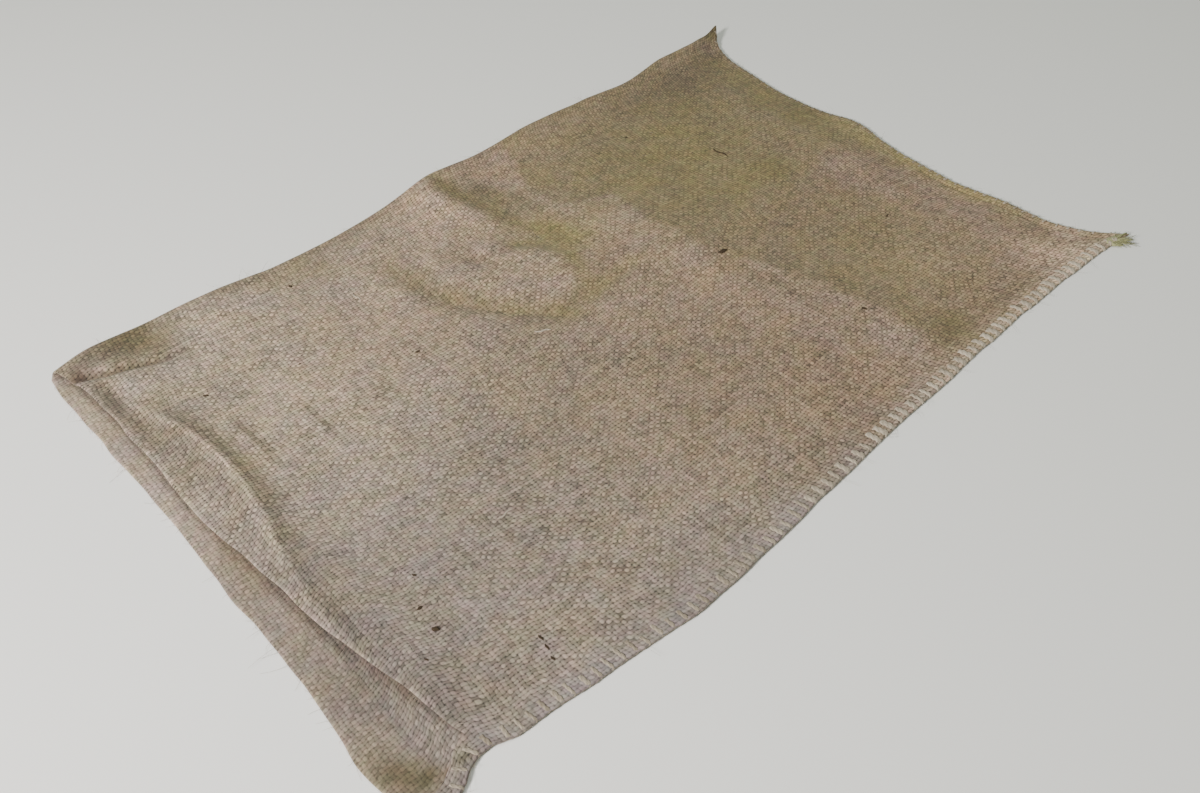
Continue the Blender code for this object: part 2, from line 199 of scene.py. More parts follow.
# Loft of the upper layer above the lower one.
FIELD_LOFT = 0.54  # in the middle of the sack
SEAM_RAMP = 5.0  # the loft is reached this far from a seam
LIP_LOFT = 0.34  # more where the mouth stands open, towards the side seam
LIP_START = 24.0  # x where the mouth starts to open
LIP_RAMP = 9.0  # and how much further it is fully open
LIP_REACH = 12.0  # how far in from the mouth that still lifts the upper layer
FAR_SINK = -0.24  # less in the far third
FAR_START = 52.0  # y where the far third starts to sink
FAR_RAMP = 8.0
HEM_LIFT = 2 * CLOTH  # where the two hems lie on each other
HEM_FADE = 2.0  # how softly that falls off behind the hem
FOLD_REACH = 2.6  # how far the folded edge's own height reaches in
FOLD_SHAPE = 1.3  # over 1 for a shoulder beside the fold
RELIEF_START = 0.8  # folds and humps start this far from the folded edge

# Small unevenness of the upper layer: the size of its swells, how high they are, and their seed.
Swell = namedtuple("Swell", "size rise seed")
SWELL_GRID = 160  # squares each way
SWELL_MARGIN = 40.0  # of them below 0
SWELLS = rows_of(
    Swell, (5.5, 0.050, 11), (2.6, 0.022, 12), (1.1, 0.009, 13),
)
EDGE_WANDER = Swell(2.2, 0.09, 21)  # in plan, along every edge, each on its own line through them
FOLD_LINE = 3.0
SEAM_LINE = 90.0
MOUTH_LINE = 0.0
BOTTOM_LINE = 130.0

# How the jute's colour varies over the upper layer. Beyond a line its far part is painted darker and
# more olive: painted shade, as that part slopes away from the light.
FAR_LINE = rows_of(  # at x: y of that line
    Edge, (0, 46.5), (5, 44.5), (9.9, 43.2), (12.8, 44.9), (14, 47.6), (16.8, 48.5), (21.2, 48.6),
    (25.3, 49.1), (28.8, 50), (35.4, 52.4), (41.8, 54.1), (50, 55),
)
FAR_SHADE_STRENGTH = rows_of(  # at x: how dark the painted shade is there
    Edge, (0, 0.3), (6, 0.48), (14, 0.52), (30, 0.42), (42, 0.32), (50, 0.25),
)
FAR_BLEND = 1.3  # how softly it turns dark there
FAR_WANDER = Swell(2.0, 0.7, 31)  # and how the line wanders
# how olive that painted shade is
FAR_SHADE_OLIVE = 0.45
BROWN_START = 14.0  # y from which the cloth turns from greyish to brown
BROWN_RAMP = 34.0
BROWNED = 0.8  # and how brown it is then

# Patches of other tone: their middle, their half sizes, how much darker, more olive and more brown
# they are, which is less than 0 for lighter, less olive and greyer, and their turn in degrees. Many
# of them are painted shade in hollows, grooves and behind folds, or painted highlight where a slope
# faces the light; the rest is the cloth's own uneven tone.
Patch = namedtuple("Patch", "x y across along dark olive brown turn", defaults=(0.0, 0.0, 0.0))
SHADE_AND_TONE_PATCHES = rows_of(
    Patch,
    (1.2, 6.4, 2.6, 2.2, 1.45, 0.8),  # painted shade behind the corner roll
    (3.4, 8.2, 2.2, 1.6, 0.5, 0.2),
    (1.2, 2.8, 1.2, 2.2, 1.2, 0.25, 0.1),  # painted shade on the roll
    (1, 15.5, 1.6, 3, 0.4, 0.1, 0.1),
    (2.1, 1.1, 0.9, 0.8, 1.5, 0, 0.4),  # painted shade at the end of the groove beside it
    (18.5, 3.9, 5, 1.1, 0.55, 0, 0.1, 3),  # painted shade in front of the mouth crease
    (30.5, 4.4, 3.5, 1.6, 0.5, 0, 0, 4),  # painted shade behind the open lip
    (37, 4.9, 4.5, 1.5, 0.55, 0, 0, 10), (43.5, 5.6, 3, 1.8, 0.6, 0, 0, 15),
    (48.8, 2, 1.2, 2.2, 0.6, 0.2, 0.2), (46.9, 5.6, 1.8, 1.2, 0.5, 0.1),
    (21.5, 4.4, 3, 0.7, 0.45, 0, 0.1, 5), (32.5, 3.3, 5.5, 0.7, 0.5, 0, 0, 6),
    (13.2, 3.9, 3, 1.1, 0.6, 0.15, 0.2, 10), (6.8, 2, 1.8, 0.7, 0.45, 0, 0.1),
    (5.5, 4.2, 2.4, 1.8, -0.25, -0.1, -0.3, -20), (3.2, 13, 4, 4, -0.35, 0, 0.1),
    (3, 22, 2.5, 3, 0.3, 0.4, 0.1), (4.5, 33.5, 4, 3, -0.45, 0, 0.2),
    (13.8, 40.8, 3, 1.5, 0.45, 0.8, 0, 18),  # painted shade behind the heart
    (22.9, 38.8, 1.4, 5.5, 0.4, 0.6),  # painted shade beside it
    (22.6, 31, 2.2, 2.4, 0.25, 0.1), (10.5, 25, 3.5, 1.6, -0.55, 0, 0, 15),
    (11.3, 28.2, 2.2, 1.4, 0.35, 0.1, 0, 20), (5.2, 40.4, 2.4, 1.2, 0.95, 0.45, 0, 12),
    (1.2, 38.6, 1.4, 1.2, -0.7), (27.8, 13.8, 3, 2.4, -0.35), (40, 20, 7, 8, 0.15),
    (1, 27, 1.5, 5, 0.3, 0.1), (26, 33, 3.5, 3.5, 0.2), (30, 49.6, 3.5, 1.1, 0.38, 0.3, 0, 12),
    (7, 66, 4, 7.5, 0.28, 0.2), (14, 46, 2, 3, 0.18, 0.1),
    (13.2, 33.9, 1.6, 0.8, 0.45, 0.2, 0.4, 20),  # painted shade in the dimple between the heart's lobes
    (16, 41.6, 2.2, 3.4, 0.1, 0.8, -0.2), (8.8, 41.6, 2.8, 1.9, 0.3, 0.55),
    (3.4, 42.8, 2, 1.6, -0.1, -0.3, 0.5), (14, 36.8, 0.7, 2.2, 0.5, 0.3, 0.1, -12),
    (17, 46, 3, 2.4, -0.15, 0, 0.1), (20.5, 42.5, 1.3, 2.6, 0.3, 0, 0.6, 20),
    (26, 47.5, 3.5, 2, -0.12), (38, 51.2, 6, 1.9, 0.26, -0.1, -0.1, 12),
    (38, 38, 11, 10, 0.42, 0.15, 0.05),  # brown middle
    (30, 27, 6, 5, 0.15, 0.1, 0.05), (44, 46, 4.5, 3, 0.3, 0, 0.15),
    (38, 9, 13, 9, 0.05, -0.2, -0.9), (32, 21.5, 5, 4.5, 0.32), (36, 22, 11, 12, 0.12),
    (14, 22, 8, 8, 0, 0, 0.4), (3, 66, 5, 11, 0, -0.1, 0.5),
    (48.4, 26, 3, 8, 0.1, -0.1, -0.9),  # grey beside the seam
    (14, 13, 9, 8, -0.32, 0.1, 0.1),
    (14, 58, 9, 12, 0.12, 0.6, -0.3),  # olive in the far part
    (21.8, 64, 1.8, 8, 0.1, 0.4), (27.5, 63, 2, 11, 0.1, -0.2, 0.5),
    (26.5, 70, 2.2, 3, -0.25, -0.4, 0.6), (37, 60, 8, 6, 0.12, 0.2, 0.1),
    (36, 71.5, 10, 3.6, -0.35, -0.5, 0.3, 8),
    (47.2, 73.5, 3, 4.5, -1.2, -0.5),  # raised bottom corner
    (-0.4, 79.2, 1.3, 1.6, 1.6, 1, -0.5),  # tip of the upturned corner
    (1.6, 76.4, 1.8, 1.5, 0.3, -0.4, 0.8), (2.2, 52, 2.2, 8, -0.15, -0.1, 0.5),
    (3.8, 69, 2.2, 8, 0.75, 0, 1),
    (14, 74.2, 9, 1.8, 0.2, 1.1, -0.3, -4),  # along the bottom seam
    (46.6, 57.8, 1.6, 1.8, 0.8, 0.5),  # painted shade in the pocket beside the side seam
    (47.6, 65, 0.5, 6, 0.35, 0.1),
    (49.9, 66, 0.8, 14, -1),  # pale rim of the side seam
    (49.2, 43, 1.5, 6, 0.35), (44.8, 52.8, 2, 1.6, -0.4), (40.5, 64, 3, 4, -0.25, -0.1, 0.1),
    (46, 65, 3, 8, 0, -0.3, 0.2), (31, 75.6, 11, 1.4, -0.4, 0.8), (23, 76, 2.5, 1, -0.4),
    (45, 74.8, 2, 1.3, 0.9),
    (27.5, 69.5, 2.2, 2.5, -0.1, -0.5, 0.5, 20),  # pinkish spots in the far part
    (21, 68, 2.6, 1.4, -0.05, -0.4, 0.4, 10),
    (47.9, 4.3, 0.35, 1.1, 1.1, 0, 1, -8),  # painted shade in the crease at the side seam's end
)

# Painted shade and painted highlight that follow a fold, where its slopes turn away from or towards
# the light: how far behind its crest it lies, how wide it is, and the same three. A dark below 0 is a
# painted highlight.
Shade = namedtuple("Shade", "ridge behind width dark olive brown")
SHADES = rows_of(
    Shade,
    (CREASE_PINCH, -0.05, 0.26, -0.95, 0.0, 0.1),
    (MOUTH_CREASE, 0.95, 0.78, 0.50, 0.36, 0.1),
    (PRESSED_CREASE, 0.20, 0.30, 0.95, 0.10, 0.2),
    (THIRD_CREASE, 0.20, 0.30, 0.60, 0.10, 0.1),
    (LIP_TROUGH, -0.4, 0.75, 1.15, 0.20, 0.2),
    (HEART_VALLEY, 0.3, 1.40, 0.50, 0.50, 0.0),
    (HEART_RIGHT, 1.2, 0.90, 0.0, 0.90, -0.2),
    (HEART_RIGHT, -1.6, 1.30, -0.30, 0.0, 0.0),
    (HEART_LEFT, 0.0, 0.80, -0.30, 0.0, 0.0),
    (FOLD_RIDGE, -1.2, 1.20, -0.30, 0.0, 0.1),
    (FOLD_RIDGE, 1.3, 1.05, 0.90, 0.80, 0.0),
)
Tone = namedtuple("Tone", "width dark olive brown")
SIDE_TONE = Tone(1.5, -0.25, -0.2, -0.5)  # along the side seam
FOLD_TONE = Tone(1.1, 0.30, 0.15, 0.3)  # along the folded edge
GROOVE_SHADE = Tone(0.34, 1.50, 0.1, 0.4)  # painted shade in the groove at the mouth corner
GROOVE_SHADE_AT = -0.05  # how far from the groove's middle that painted shade lies
GREYED = 0.75  # how greyed the cloth is along the side seam
GREYED_START = 35.0  # y from which that fades
GREYED_RAMP = 22.0

# The same on the lower layer's inner face, which shows in the mouth. Most of them are painted shade
# where the upper layer's lip hangs over it.
INSIDE_SHADE_AND_TONE_PATCHES = rows_of(
    Patch,
    (46.2, 0.8, 2.2, 1.1, 1.55, 0.75, -0.6, 25),  # painted shade, olive, beside the seam's end
    (40.4, 1.5, 4.8, 2.1, 0.72, 0, 0, 5), (31, 0.6, 4.5, 1.2, 0.35, 0, 0, 3),
    (18, 0.5, 6, 1.2, -0.4, 0, 0, 3), (5, 0.3, 5, 1, -0.42, 0.2),
    (47.3, 2.1, 0.5, 0.8, 1.3, 0.3, 0.6, 20),
    (47.9, 3.7, 0.35, 1.4, 0.8, 0, 1, -10),  # painted shade in a crease along the seam
    (26, 1.5, 5, 0.5, 0.2, 0.1, 0.4, 5),
)
LIP_SHADE = 0.9  # painted shade: how much darker the cloth is under the upper layer's lip
# how much browner that painted shade is, and how far it reaches
LIP_SHADE_BROWN = 0.3
LIP_SHADE_REACH = 0.27

# The overcast sewing: one yarn that winds round a seam's edge, stitch after stitch. Each row is a
# point of a stitch: its share of the stitch's depth, how far along the seam it is, in stitches
# from where the yarn turns round the edge, what it lies on, and the way its flat side faces, in
# degrees above straight outwards.
StitchPoint = namedtuple("StitchPoint", "depth along lies facing")
STITCH_PATH = rows_of(
    StitchPoint,
    (1.00, -0.24, "within", 150.0),
    (0.94, -0.21, "above", 110.0),
    (0.72, -0.16, "above", 90.0),
    (0.46, -0.10, "above", 85.0),
    (0.18, -0.04, "above", 60.0),
    (0.00, 0.00, "round", 0.0),
    (0.18, 0.08, "below", -60.0),
    (0.55, 0.38, "below", -90.0),
    (0.94, 0.70, "below", -110.0),
)
YarnSize = namedtuple("YarnSize", "at wide thick pale")
SIDE_YARN = rows_of(
    YarnSize, (0, 0.13, 0.022, -0.55), (25, 0.15, 0.028, -0.40), (38, 0.20, 0.040, 0.10),
    (55, 0.22, 0.055, 0.55), (79, 0.22, 0.060, 0.75),
)
BOTTOM_YARN = rows_of(
    YarnSize, (0, 0.07, 0.030, -1.10), (25, 0.08, 0.035, -0.95), (38, 0.10, 0.050, -0.20),
    (50, 0.10, 0.055, 0.20),
)
Seam = namedtuple("Seam", "name start end depth fade seed yarn")
SEAMS = rows_of(
    Seam,
    ("side_seam_yarn", 1.0, 79.4, 1.06, 2.5, 41, SIDE_YARN),
    ("bottom_seam_yarn", 0.6, 50.0, 0.48, 2.5, 42, BOTTOM_YARN),
)
END_DEPTH = 0.45  # share of a stitch's depth that is left at the ends of a seam
LIE_ABOVE = 0.7  # how far the yarn's middle is off what it lies on, as a share of its thickness
LIE_BELOW = 0.9
LIE_ROUND = 0.5
UP = np.array([0.0, 0.0, 1.0])

# How uneven the stitches are. Each one draws its own factor or shift from each range.
DEPTH_RANGE = (0.84, 1.12)
SHIFT_RANGE = (-0.09, 0.09)  # along the seam, in stitches
SLANT_RANGE = (0.5, 1.5)  # of the part over the upper layer
WIDE_RANGE = (0.72, 1.28)
THICK_RANGE = (0.8, 1.2)
PALE_RANGE = (-0.45, 0.45)
STITCH_SMOOTH = 3  # rings of the yarn from one row of the path to the next
YARN_SIDES = 10
PLY = 0.16  # how deep the groove between the yarn's two plies is
PLY_TURN = 0.9  # length of yarn in which they turn round each other
YARN_FLOOR = 0.004  # least height of any yarn above the floor

# Loose ends of yarn at the bottom corner beside the side seam: where each starts and which way it
# points in plan, how far it points up, its length, how far its fibres spread, in degrees, and how
# thick it is.
Tuft = namedtuple("Tuft", "x y turn rise length spread thick fibres seed")
TUFTS = rows_of(
    Tuft,
    (50.3, 78.6, 72.0, 12.0, 2.2, 8.0, 0.30, 30, 51),
    (50.5, 78.8, 50.0, 8.0, 2.2, 8.0, 0.26, 26, 52),
    (50.2, 78.3, 40.0, 4.0, 1.5, 14.0, 0.40, 20, 54),
)
Tip = namedtuple("Tip", "x y turn rise length wide tone")
TIPS = rows_of(  # the same ends where the yarn is still twisted: a tapered piece of it
    Tip,
    (50.0, 78.2, 72.0, 6.0, 2.3, 0.34, 0.5),
    (50.1, 78.4, 50.0, 2.0, 2.2, 0.30, 0.7),
    (50.0, 78.0, 30.0, 0.0, 1.5, 0.36, 0.8),
)
TIP_RINGS = 14
FIBRE = 0.045  # radius of a bundle of fibres in a loose end
FIBRE_BEND = 0.16  # how far it bends to any side, as a share of its length
FIBRE_DROOP = -0.25  # and how far it sinks
FIBRE_LENGTHS = (0.55, 1.0)
FIBRE_SIZES = (0.7, 1.3)
FIBRE_TONES = (0.0, 1.2)
FIBRE_ROOT = -0.3  # where it starts inside the yarn, as a share of its length
FIBRE_GATHERED = 0.6  # how far it comes back to the yarn's middle
FIBRE_TAPER = 0.75
FIBRE_RINGS = 9
TIP_TAPER = 0.8
TIP_FLAT = 0.8  # how thick a tip is for its width
STEEPEST = 80.0  # degrees

# Bits of bark and pale lumps spun into the cloth: where they are, which way they point, how long
# and how wide they are.
Fleck = namedtuple("Fleck", "x y turn length wide")
BARK_FLECKS = rows_of(
    Fleck, (40.2, 8.1, 30, 0.55, 0.17), (38.2, 8.3, 80, 0.42, 0.11), (35.8, 9.6, 20, 0.3, 0.08),
    (45.2, 12.8, 0, 0.5, 0.08), (45.9, 12.7, -10, 0.45, 0.07), (46.7, 12.5, 5, 0.4, 0.08),
    (18.5, 22.8, 60, 0.45, 0.1), (4.3, 19.6, 0, 0.4, 0.11), (11, 7.7, 40, 0.45, 0.1),
    (27.3, 50.3, 70, 0.95, 0.2), (40.6, 53.5, 10, 0.5, 0.12), (16.4, 62.1, 4, 2, 0.09),
    (41.6, 6.3, 15, 0.35, 0.06), (13, 15, 85, 0.3, 0.05), (31, 35, 5, 0.4, 0.06),
    (24.5, 19.5, 0, 0.35, 0.05), (34, 66, 88, 0.5, 0.07), (8, 57, 3, 0.4, 0.07),
)
PALE_FLECKS = rows_of(
    Fleck, (23.6, 32, 55, 1.5, 0.1), (9.5, 23, 2, 1.2, 0.07), (36, 17.5, 88, 1.4, 0.07),
)
FLECK_TONE = 0.6
FLECK_WAVE = 0.06  # how far it bends to and fro, as a share of its length
FLECK_WAVES = 7.0
FLECK_LIFT = 0.15  # how far it stands off the cloth, and its thickness, as shares of its width
FLECK_THICK = 0.5
FLECK_RINGS = 9

# Loose fibres that stand off the cloth: how many there are on the upper layer and along each edge.
HAIR_ON_TOP = 520
HAIR_PER_EDGE = 50
HAIR = 0.011  # their radius
HAIR_LENGTHS = (0.3, 1.2)
HAIR_RISES = (0.05, 0.45)
HAIR_TONES = (-0.2, 0.9)
HAIR_LEAN = 0.6  # how far they lean along an edge
HAIR_BEND = 0.45
HAIR_TAPER = 0.6
HAIR_RINGS = 6
HAIR_SEED = 61

# Steps of the mesh, in centimetres.
FINE_STEP = 0.34  # over the upper layer
DEEP_EVERY = 8  # deep inside the sack, one row in so many is kept
BAND_STEPS = (0.0, 0.025, 0.07, 0.17, 0.35, 0.60, 0.85, BAND)  # from a seam's edge inwards
BEHIND_BAND = (1.12, 1.19, 1.27, 1.35, 1.43, 1.51, 1.60, 1.69, 1.78)
FOLD_STEPS = 8  # flats around the folded edge
RIM_STEPS = 4  # flats around the mouth's folded rim
INSIDE_SHOWN = 12.0  # the inside is modelled finely this far from the mouth
FOLD_ARC = 1.2  # length of cloth around the folded edge
SEAM_GAP = 0.02  # least clearance between the layers just behind a band


def smoothstep(t):
    t = np.clip(t, 0.0, 1.0)
    return t * t * (3.0 - 2.0 * t)


def bell(away, width):
    return np.exp(-((away / width) ** 2))


def along_table(table, column, at):
    """A smooth curve through one column of a table, held level past both of its ends."""
    known = np.array([row[0] for row in table])
    value = np.array([getattr(row, column) for row in table])
    slope = np.gradient(value, known)
    at = np.clip(at, known[0], known[-1])
    left = np.clip(np.searchsorted(known, at, side="right") - 1, 0, len(known) - 2)
    span = known[left + 1] - known[left]
    t = (at - known[left]) / span
    start = value[left] * (1 + 2 * t) + span * slope[left] * t
    end = value[left + 1] * (3 - 2 * t) - span * slope[left + 1] * (1 - t)
    return start * (1 - t) ** 2 + end * t**2


def swell(kind, x, y):
    """Smooth uneven heights about 0, from random heights on a square grid."""
    rng = np.random.default_rng(kind.seed)
    grid = rng.uniform(-1.0, 1.0, (SWELL_GRID, SWELL_GRID))
    u = np.asarray(x) / kind.size + SWELL_MARGIN
    v = np.asarray(y) / kind.size + SWELL_MARGIN
    i = np.floor(u).astype(int)
    j = np.floor(v).astype(int)
    s = smoothstep(u - i)
    t = smoothstep(v - j)
    low = grid[i, j] * (1 - s) + grid[i + 1, j] * s
    high = grid[i, j + 1] * (1 - s) + grid[i + 1, j + 1] * s
    return kind.rise * (low * (1 - t) + high * t)


def along_ridge(points, x):
    """y of a ridge's crest and its rise there, which is 0 past its ends."""
    rise = along_table(points, "rise", x)
    return along_table(points, "y", x), np.where((x < points[0].x) | (x > points[-1].x), 0.0, rise)


def ridge_height(ridge, x, y):
    centre, rise = along_ridge(ridge.points, x)
    away = y - centre
    width = np.where(away < 0, ridge.near, ridge.far)
    rounded = np.sqrt(away**2 + ridge.crest**2) - ridge.crest
    return rise * np.exp(-rounded / width)


def hump_height(hump, x, y):
    turn = np.radians(hump.turn)
    across = (x - hump.x) * np.cos(turn) + (y - hump.y) * np.sin(turn)
    along = (y - hump.y) * np.cos(turn) - (x - hump.x) * np.sin(turn)
    return hump.rise * np.exp(-((across / hump.across) ** 2) - (along / hump.along) ** 2)


def groove_height(x, y, width=GROOVE_WIDTH, shift=0.0):
    centre = along_table(CORNER_GROOVE, "place", y)
    return along_table(CORNER_GROOVE, "height", y) * bell(x - centre - shift, width)


def fold_place(y):
    """x of the folded edge."""
    return along_table(FOLD_EDGE, "place", y) + swell(EDGE_WANDER, FOLD_LINE, y)


def fold_start(y):
    """x where a layer leaves the rounding of the folded edge."""
    return fold_place(y) + along_table(FOLD_EDGE, "height", y) / 2


def seam_place(y):
    """x of the side seam's outer edge, drawn in a little by each stitch."""
    drawn = SCALLOP * np.cos(2 * np.pi * y / STITCH)
    return along_table(SEAM_EDGE, "place", y) + swell(EDGE_WANDER, SEAM_LINE, y) - drawn


def mouth_place(edge, x):
    """y of a layer's mouth."""
    return along_table(edge, "place", x) + swell(EDGE_WANDER, x, MOUTH_LINE)


def bottom_place(x):
    """y of the bottom seam's outer edge."""
    return along_table(BOTTOM_EDGE, "place", x) + swell(EDGE_WANDER, x, BOTTOM_LINE)


def field_height(x, y):
    """Height of the upper layer's outer face where it isn't sewn to the lower one."""
    from_seam = seam_place(y) - x - BAND
    from_bottom = bottom_place(x) - y - BAND
    from_lip = y - along_table(LIP_EDGE, "place", x)
    clear = smoothstep(from_seam / SEAM_RAMP) * smoothstep(from_bottom / SEAM_RAMP)
    near_lip = bell(np.maximum(from_lip, 0.0), LIP_REACH)
    loft = FIELD_LOFT + FAR_SINK * smoothstep((y - FAR_START) / FAR_RAMP)
    loft = loft + LIP_LOFT * near_lip * smoothstep((x - LIP_START) / LIP_RAMP)
    loft = loft + HEM_LIFT * bell(np.maximum(from_lip - HEM, 0.0), HEM_FADE)
    height = 2 * CLOTH + LAYER_GAP + loft * clear
    fold = along_table(FOLD_EDGE, "height", y)
    from_fold = np.maximum(x - fold_start(y), 0.0)
    height = height + (fold - height) * np.exp(-((from_fold / FOLD_REACH) ** FOLD_SHAPE))
    relief = sum(ridge_height(ridge, x, y) for ridge in RIDGES)
    relief = relief + sum(hump_height(hump, x, y) for hump in HUMPS) + groove_height(x, y)
    relief = relief + sum(swell(kind, x, y) for kind in SWELLS)
    return height + relief * clear * smoothstep(from_fold / RELIEF_START)


def ear_height(x, y):
    return hump_height(CORNER_EAR, x, y)


def from_seams(x, y):
    """Distance from the nearer seam's outer edge."""
    return np.minimum(seam_place(y) - x, bottom_place(x) - y)


def band_rounding(from_edge):
    """0 on a seam's outer edge, 1 where its rounding ends."""
    t = np.clip(from_edge / BAND_EDGE, 0.0, 1.0)
    return np.sqrt(1.0 - (1.0 - t) ** 2)


def stations(end):
    """Shares of the way from one edge to the band behind the other, evenly spread."""
    count = round(end / FINE_STEP)
    return np.linspace(0.0, 1.0, count, endpoint=False)


# A layer's columns run from the folded edge to the side seam, and its rows from the mouth to the
# bottom seam. Those of the field are shares of the way, and those of the band are distances from
# the seam's edge.
FROM_EDGE = np.array(BEHIND_BAND[::-1] + BAND_STEPS[::-1])
BAND_START = FROM_EDGE[0]


class Layer:
    """Plan and cloth coordinates of one layer's points, rows by columns."""

    def __init__(self, mouth, across, along):
        self.from_seam = np.concatenate([across * 0.0 + BAND_START, FROM_EDGE])[None, :]
        self.from_bottom = np.concatenate([along * 0.0 + BAND_START, FROM_EDGE])[:, None]
        share_x = np.concatenate([across, FROM_EDGE * 0.0 + 1.0])[None, :]
        share_y = np.concatenate([along, FROM_EDGE * 0.0 + 1.0])[:, None]
        x = WIDTH * share_x + 0.0 * share_y
        for _ in range(4):  # x depends on y and y on x, and both settle in a few rounds
            start = self.mouth_start(mouth, x)
            end = bottom_place(x) - self.from_bottom
            y = start + (end - start) * share_y
            left = fold_start(y)
            x = left + (seam_place(y) - self.from_seam - left) * share_x
        self.x = x
        self.y = y
        self.u = (WIDTH - self.from_seam) * share_x + 0.0 * y
        self.v = (LENGTH - self.from_bottom) * y / (bottom_place(x) - self.from_bottom)
        self.from_mouth = y - mouth_place(mouth, x)
        self.from_edge = from_seams(x, y)

    def mouth_start(self, mouth, x):
        """y of the layer's own mouth, which in the band is that of the lower layer."""
        lower = mouth_place(MOUTH_EDGE, x)
        free = np.clip((self.from_seam - BAND) / (BAND_START - BAND), 0.0, 1.0)
        return lower + (mouth_place(mouth, x) - lower) * free


def in_field(from_edge):
    """0 in a sewn band, 1 where the layers are apart behind it."""
    return smoothstep((from_edge - BAND) / (BAND_START - BAND))


def in_hem(layer):
    """1 in the hem, 0 behind its step."""
    return 1.0 - smoothstep((layer.from_mouth - HEM) / HEM_SLOPE)


def top_surface(x, y, wall=CLOTH):
    """Height of the upper layer's outer face."""
    from_edge = from_seams(x, y)
    field = np.maximum(field_height(x, y), 2 * wall + LAYER_GAP)
    height = 2 * BAND_EDGE + (field - 2 * BAND_EDGE) * smoothstep((from_edge - BAND) / FIELD_RAMP)
    drawn = smoothstep((x - NEEDLE_START.x) / NEEDLE_RAMP)
    drawn = drawn * smoothstep((y - NEEDLE_START.y) / NEEDLE_RAMP)
    height = height - NEEDLE_LINE * drawn * bell(from_edge - BAND, NEEDLE_WIDTH)
    return BAND_EDGE + (height - BAND_EDGE) * band_rounding(from_edge) + ear_height(x, y)


def layer_heights(low, top):
    """Outer heights of both layers, and the thickness of the cloth behind them."""
    wall = CLOTH * (1.0 + in_hem(top) * in_field(top.from_edge))
    lift = BAND_LIFT * (1.0 - in_field(low.from_edge))
    below = BAND_EDGE + (lift - BAND_EDGE) * band_rounding(low.from_edge)
    return below + ear_height(low.x, low.y), top_surface(top.x, top.y, wall), wall


def patch_share(patch, x, y):
    shape = Hump(patch.x, patch.y, patch.across, patch.along, 1.0, patch.turn)
    return hump_height(shape, x, y)


def ridge_share(shade, x, y):
    """How much of a fold's painted shade or highlight reaches each point."""
    centre, rise = along_ridge(shade.ridge.points, x)
    highest = max((point.rise for point in shade.ridge.points), key=abs)
    return rise / highest * bell(y - centre - shade.behind, shade.width)


def groove_shade_share(x, y):
    deepest = min(row.height for row in CORNER_GROOVE)
    return groove_height(x, y, GROOVE_SHADE.width, GROOVE_SHADE_AT) / deepest


def toned(numbers, shares):
    """Adds each tone, as far as its share reaches, to the numbers dark, olive and brown."""
    for tone, share in shares:
        parts = zip(numbers, (tone.dark, tone.olive, tone.brown))
        numbers = [number + part * share for number, part in parts]
    return numbers


def tones(x, y):
    """How much darker, more olive, more brown and greyer the upper layer is at its points: painted
    shade and highlight over its folds, hollows and far part, and its own uneven tone.
    """
    # Painted shade over the far part, beyond a wandering line.
    line = along_table(FAR_LINE, "place", x) + swell(FAR_WANDER, x, y)
    far = smoothstep((y - line) / FAR_BLEND)
    dark = far * along_table(FAR_SHADE_STRENGTH, "place", x)
    brown = smoothstep((y - BROWN_START) / BROWN_RAMP) * BROWNED
    at_seam = bell(seam_place(y) - x, SIDE_TONE.width)
    at_fold = bell(x - along_table(FOLD_EDGE, "place", y), FOLD_TONE.width)
    shares = [(patch, patch_share(patch, x, y)) for patch in SHADE_AND_TONE_PATCHES]
    shares += [(shade, ridge_share(shade, x, y)) for shade in SHADES]
    shares += [(GROOVE_SHADE, groove_shade_share(x, y)), (SIDE_TONE, at_seam), (FOLD_TONE, at_fold)]
    dark, olive, brown = toned([dark, FAR_SHADE_OLIVE * far, brown], shares)
    grey = GREYED * at_seam * (1.0 - smoothstep((y - GREYED_START) / GREYED_RAMP))
    grey = grey + np.maximum(-brown, 0.0)
    return {"dark": dark, "olive": olive, "brown": np.maximum(brown, 0.0), "grey": grey}


def inside_tones(x, y):
    """The same for the lower layer's inner face, but for the grey: painted shade under the upper
    layer's lip, and its own patches.
    """
    under_lip = bell(np.maximum(along_table(LIP_EDGE, "place", x) - y, 0.0), LIP_SHADE_REACH)
    shares = [(patch, patch_share(patch, x, y)) for patch in INSIDE_SHADE_AND_TONE_PATCHES]
    dark, olive, brown = toned([LIP_SHADE * under_lip, 0.0, LIP_SHADE_BROWN * under_lip], shares)
    return {"dark": dark, "olive": olive, "brown": brown}


POINT_DATA = ("dark", "olive", "brown", "grey", "hem_strip")


def layer_points(layer, height, **numbers):
    """Rows by columns of points: place, cloth coordinates, and the numbers in POINT_DATA."""
    extras = [numbers.get(name, 0.0) for name in POINT_DATA]
    values = [layer.x, layer.y, height, layer.u, layer.v, *extras]
    return np.stack(np.broadcast_arrays(*values), axis=-1)


def fold_arc(low, top):
    """Points around the folded edge, between the first columns of the two layers."""
    radius = (top[:, 2] - low[:, 2]) / 2
    arc = []
    for step in range(1, FOLD_STEPS):
        angle = np.pi * step / FOLD_STEPS
        point = low + (top - low) * step / FOLD_STEPS
        point[:, 0] = point[:, 0] - radius * np.sin(angle)
        point[:, 2] = low[:, 2] + radius * (1 - np.cos(angle))
        arc.append(point)
    return np.stack(arc, axis=1)


def folded(low, top):
    """Rows of points that run over the lower layer, around the folded edge and over the upper one."""
    return np.concatenate([low[:, ::-1], fold_arc(low[:, 0], top[:, 0]), top], axis=1)


def lowest_nearby(height):
    """The lowest of each point's height and those of the rows around it that may be left out."""
    steps = range(-DEEP_EVERY, DEEP_EVERY + 1)
    return np.min([np.roll(height, step, axis=0) for step in steps], axis=0)


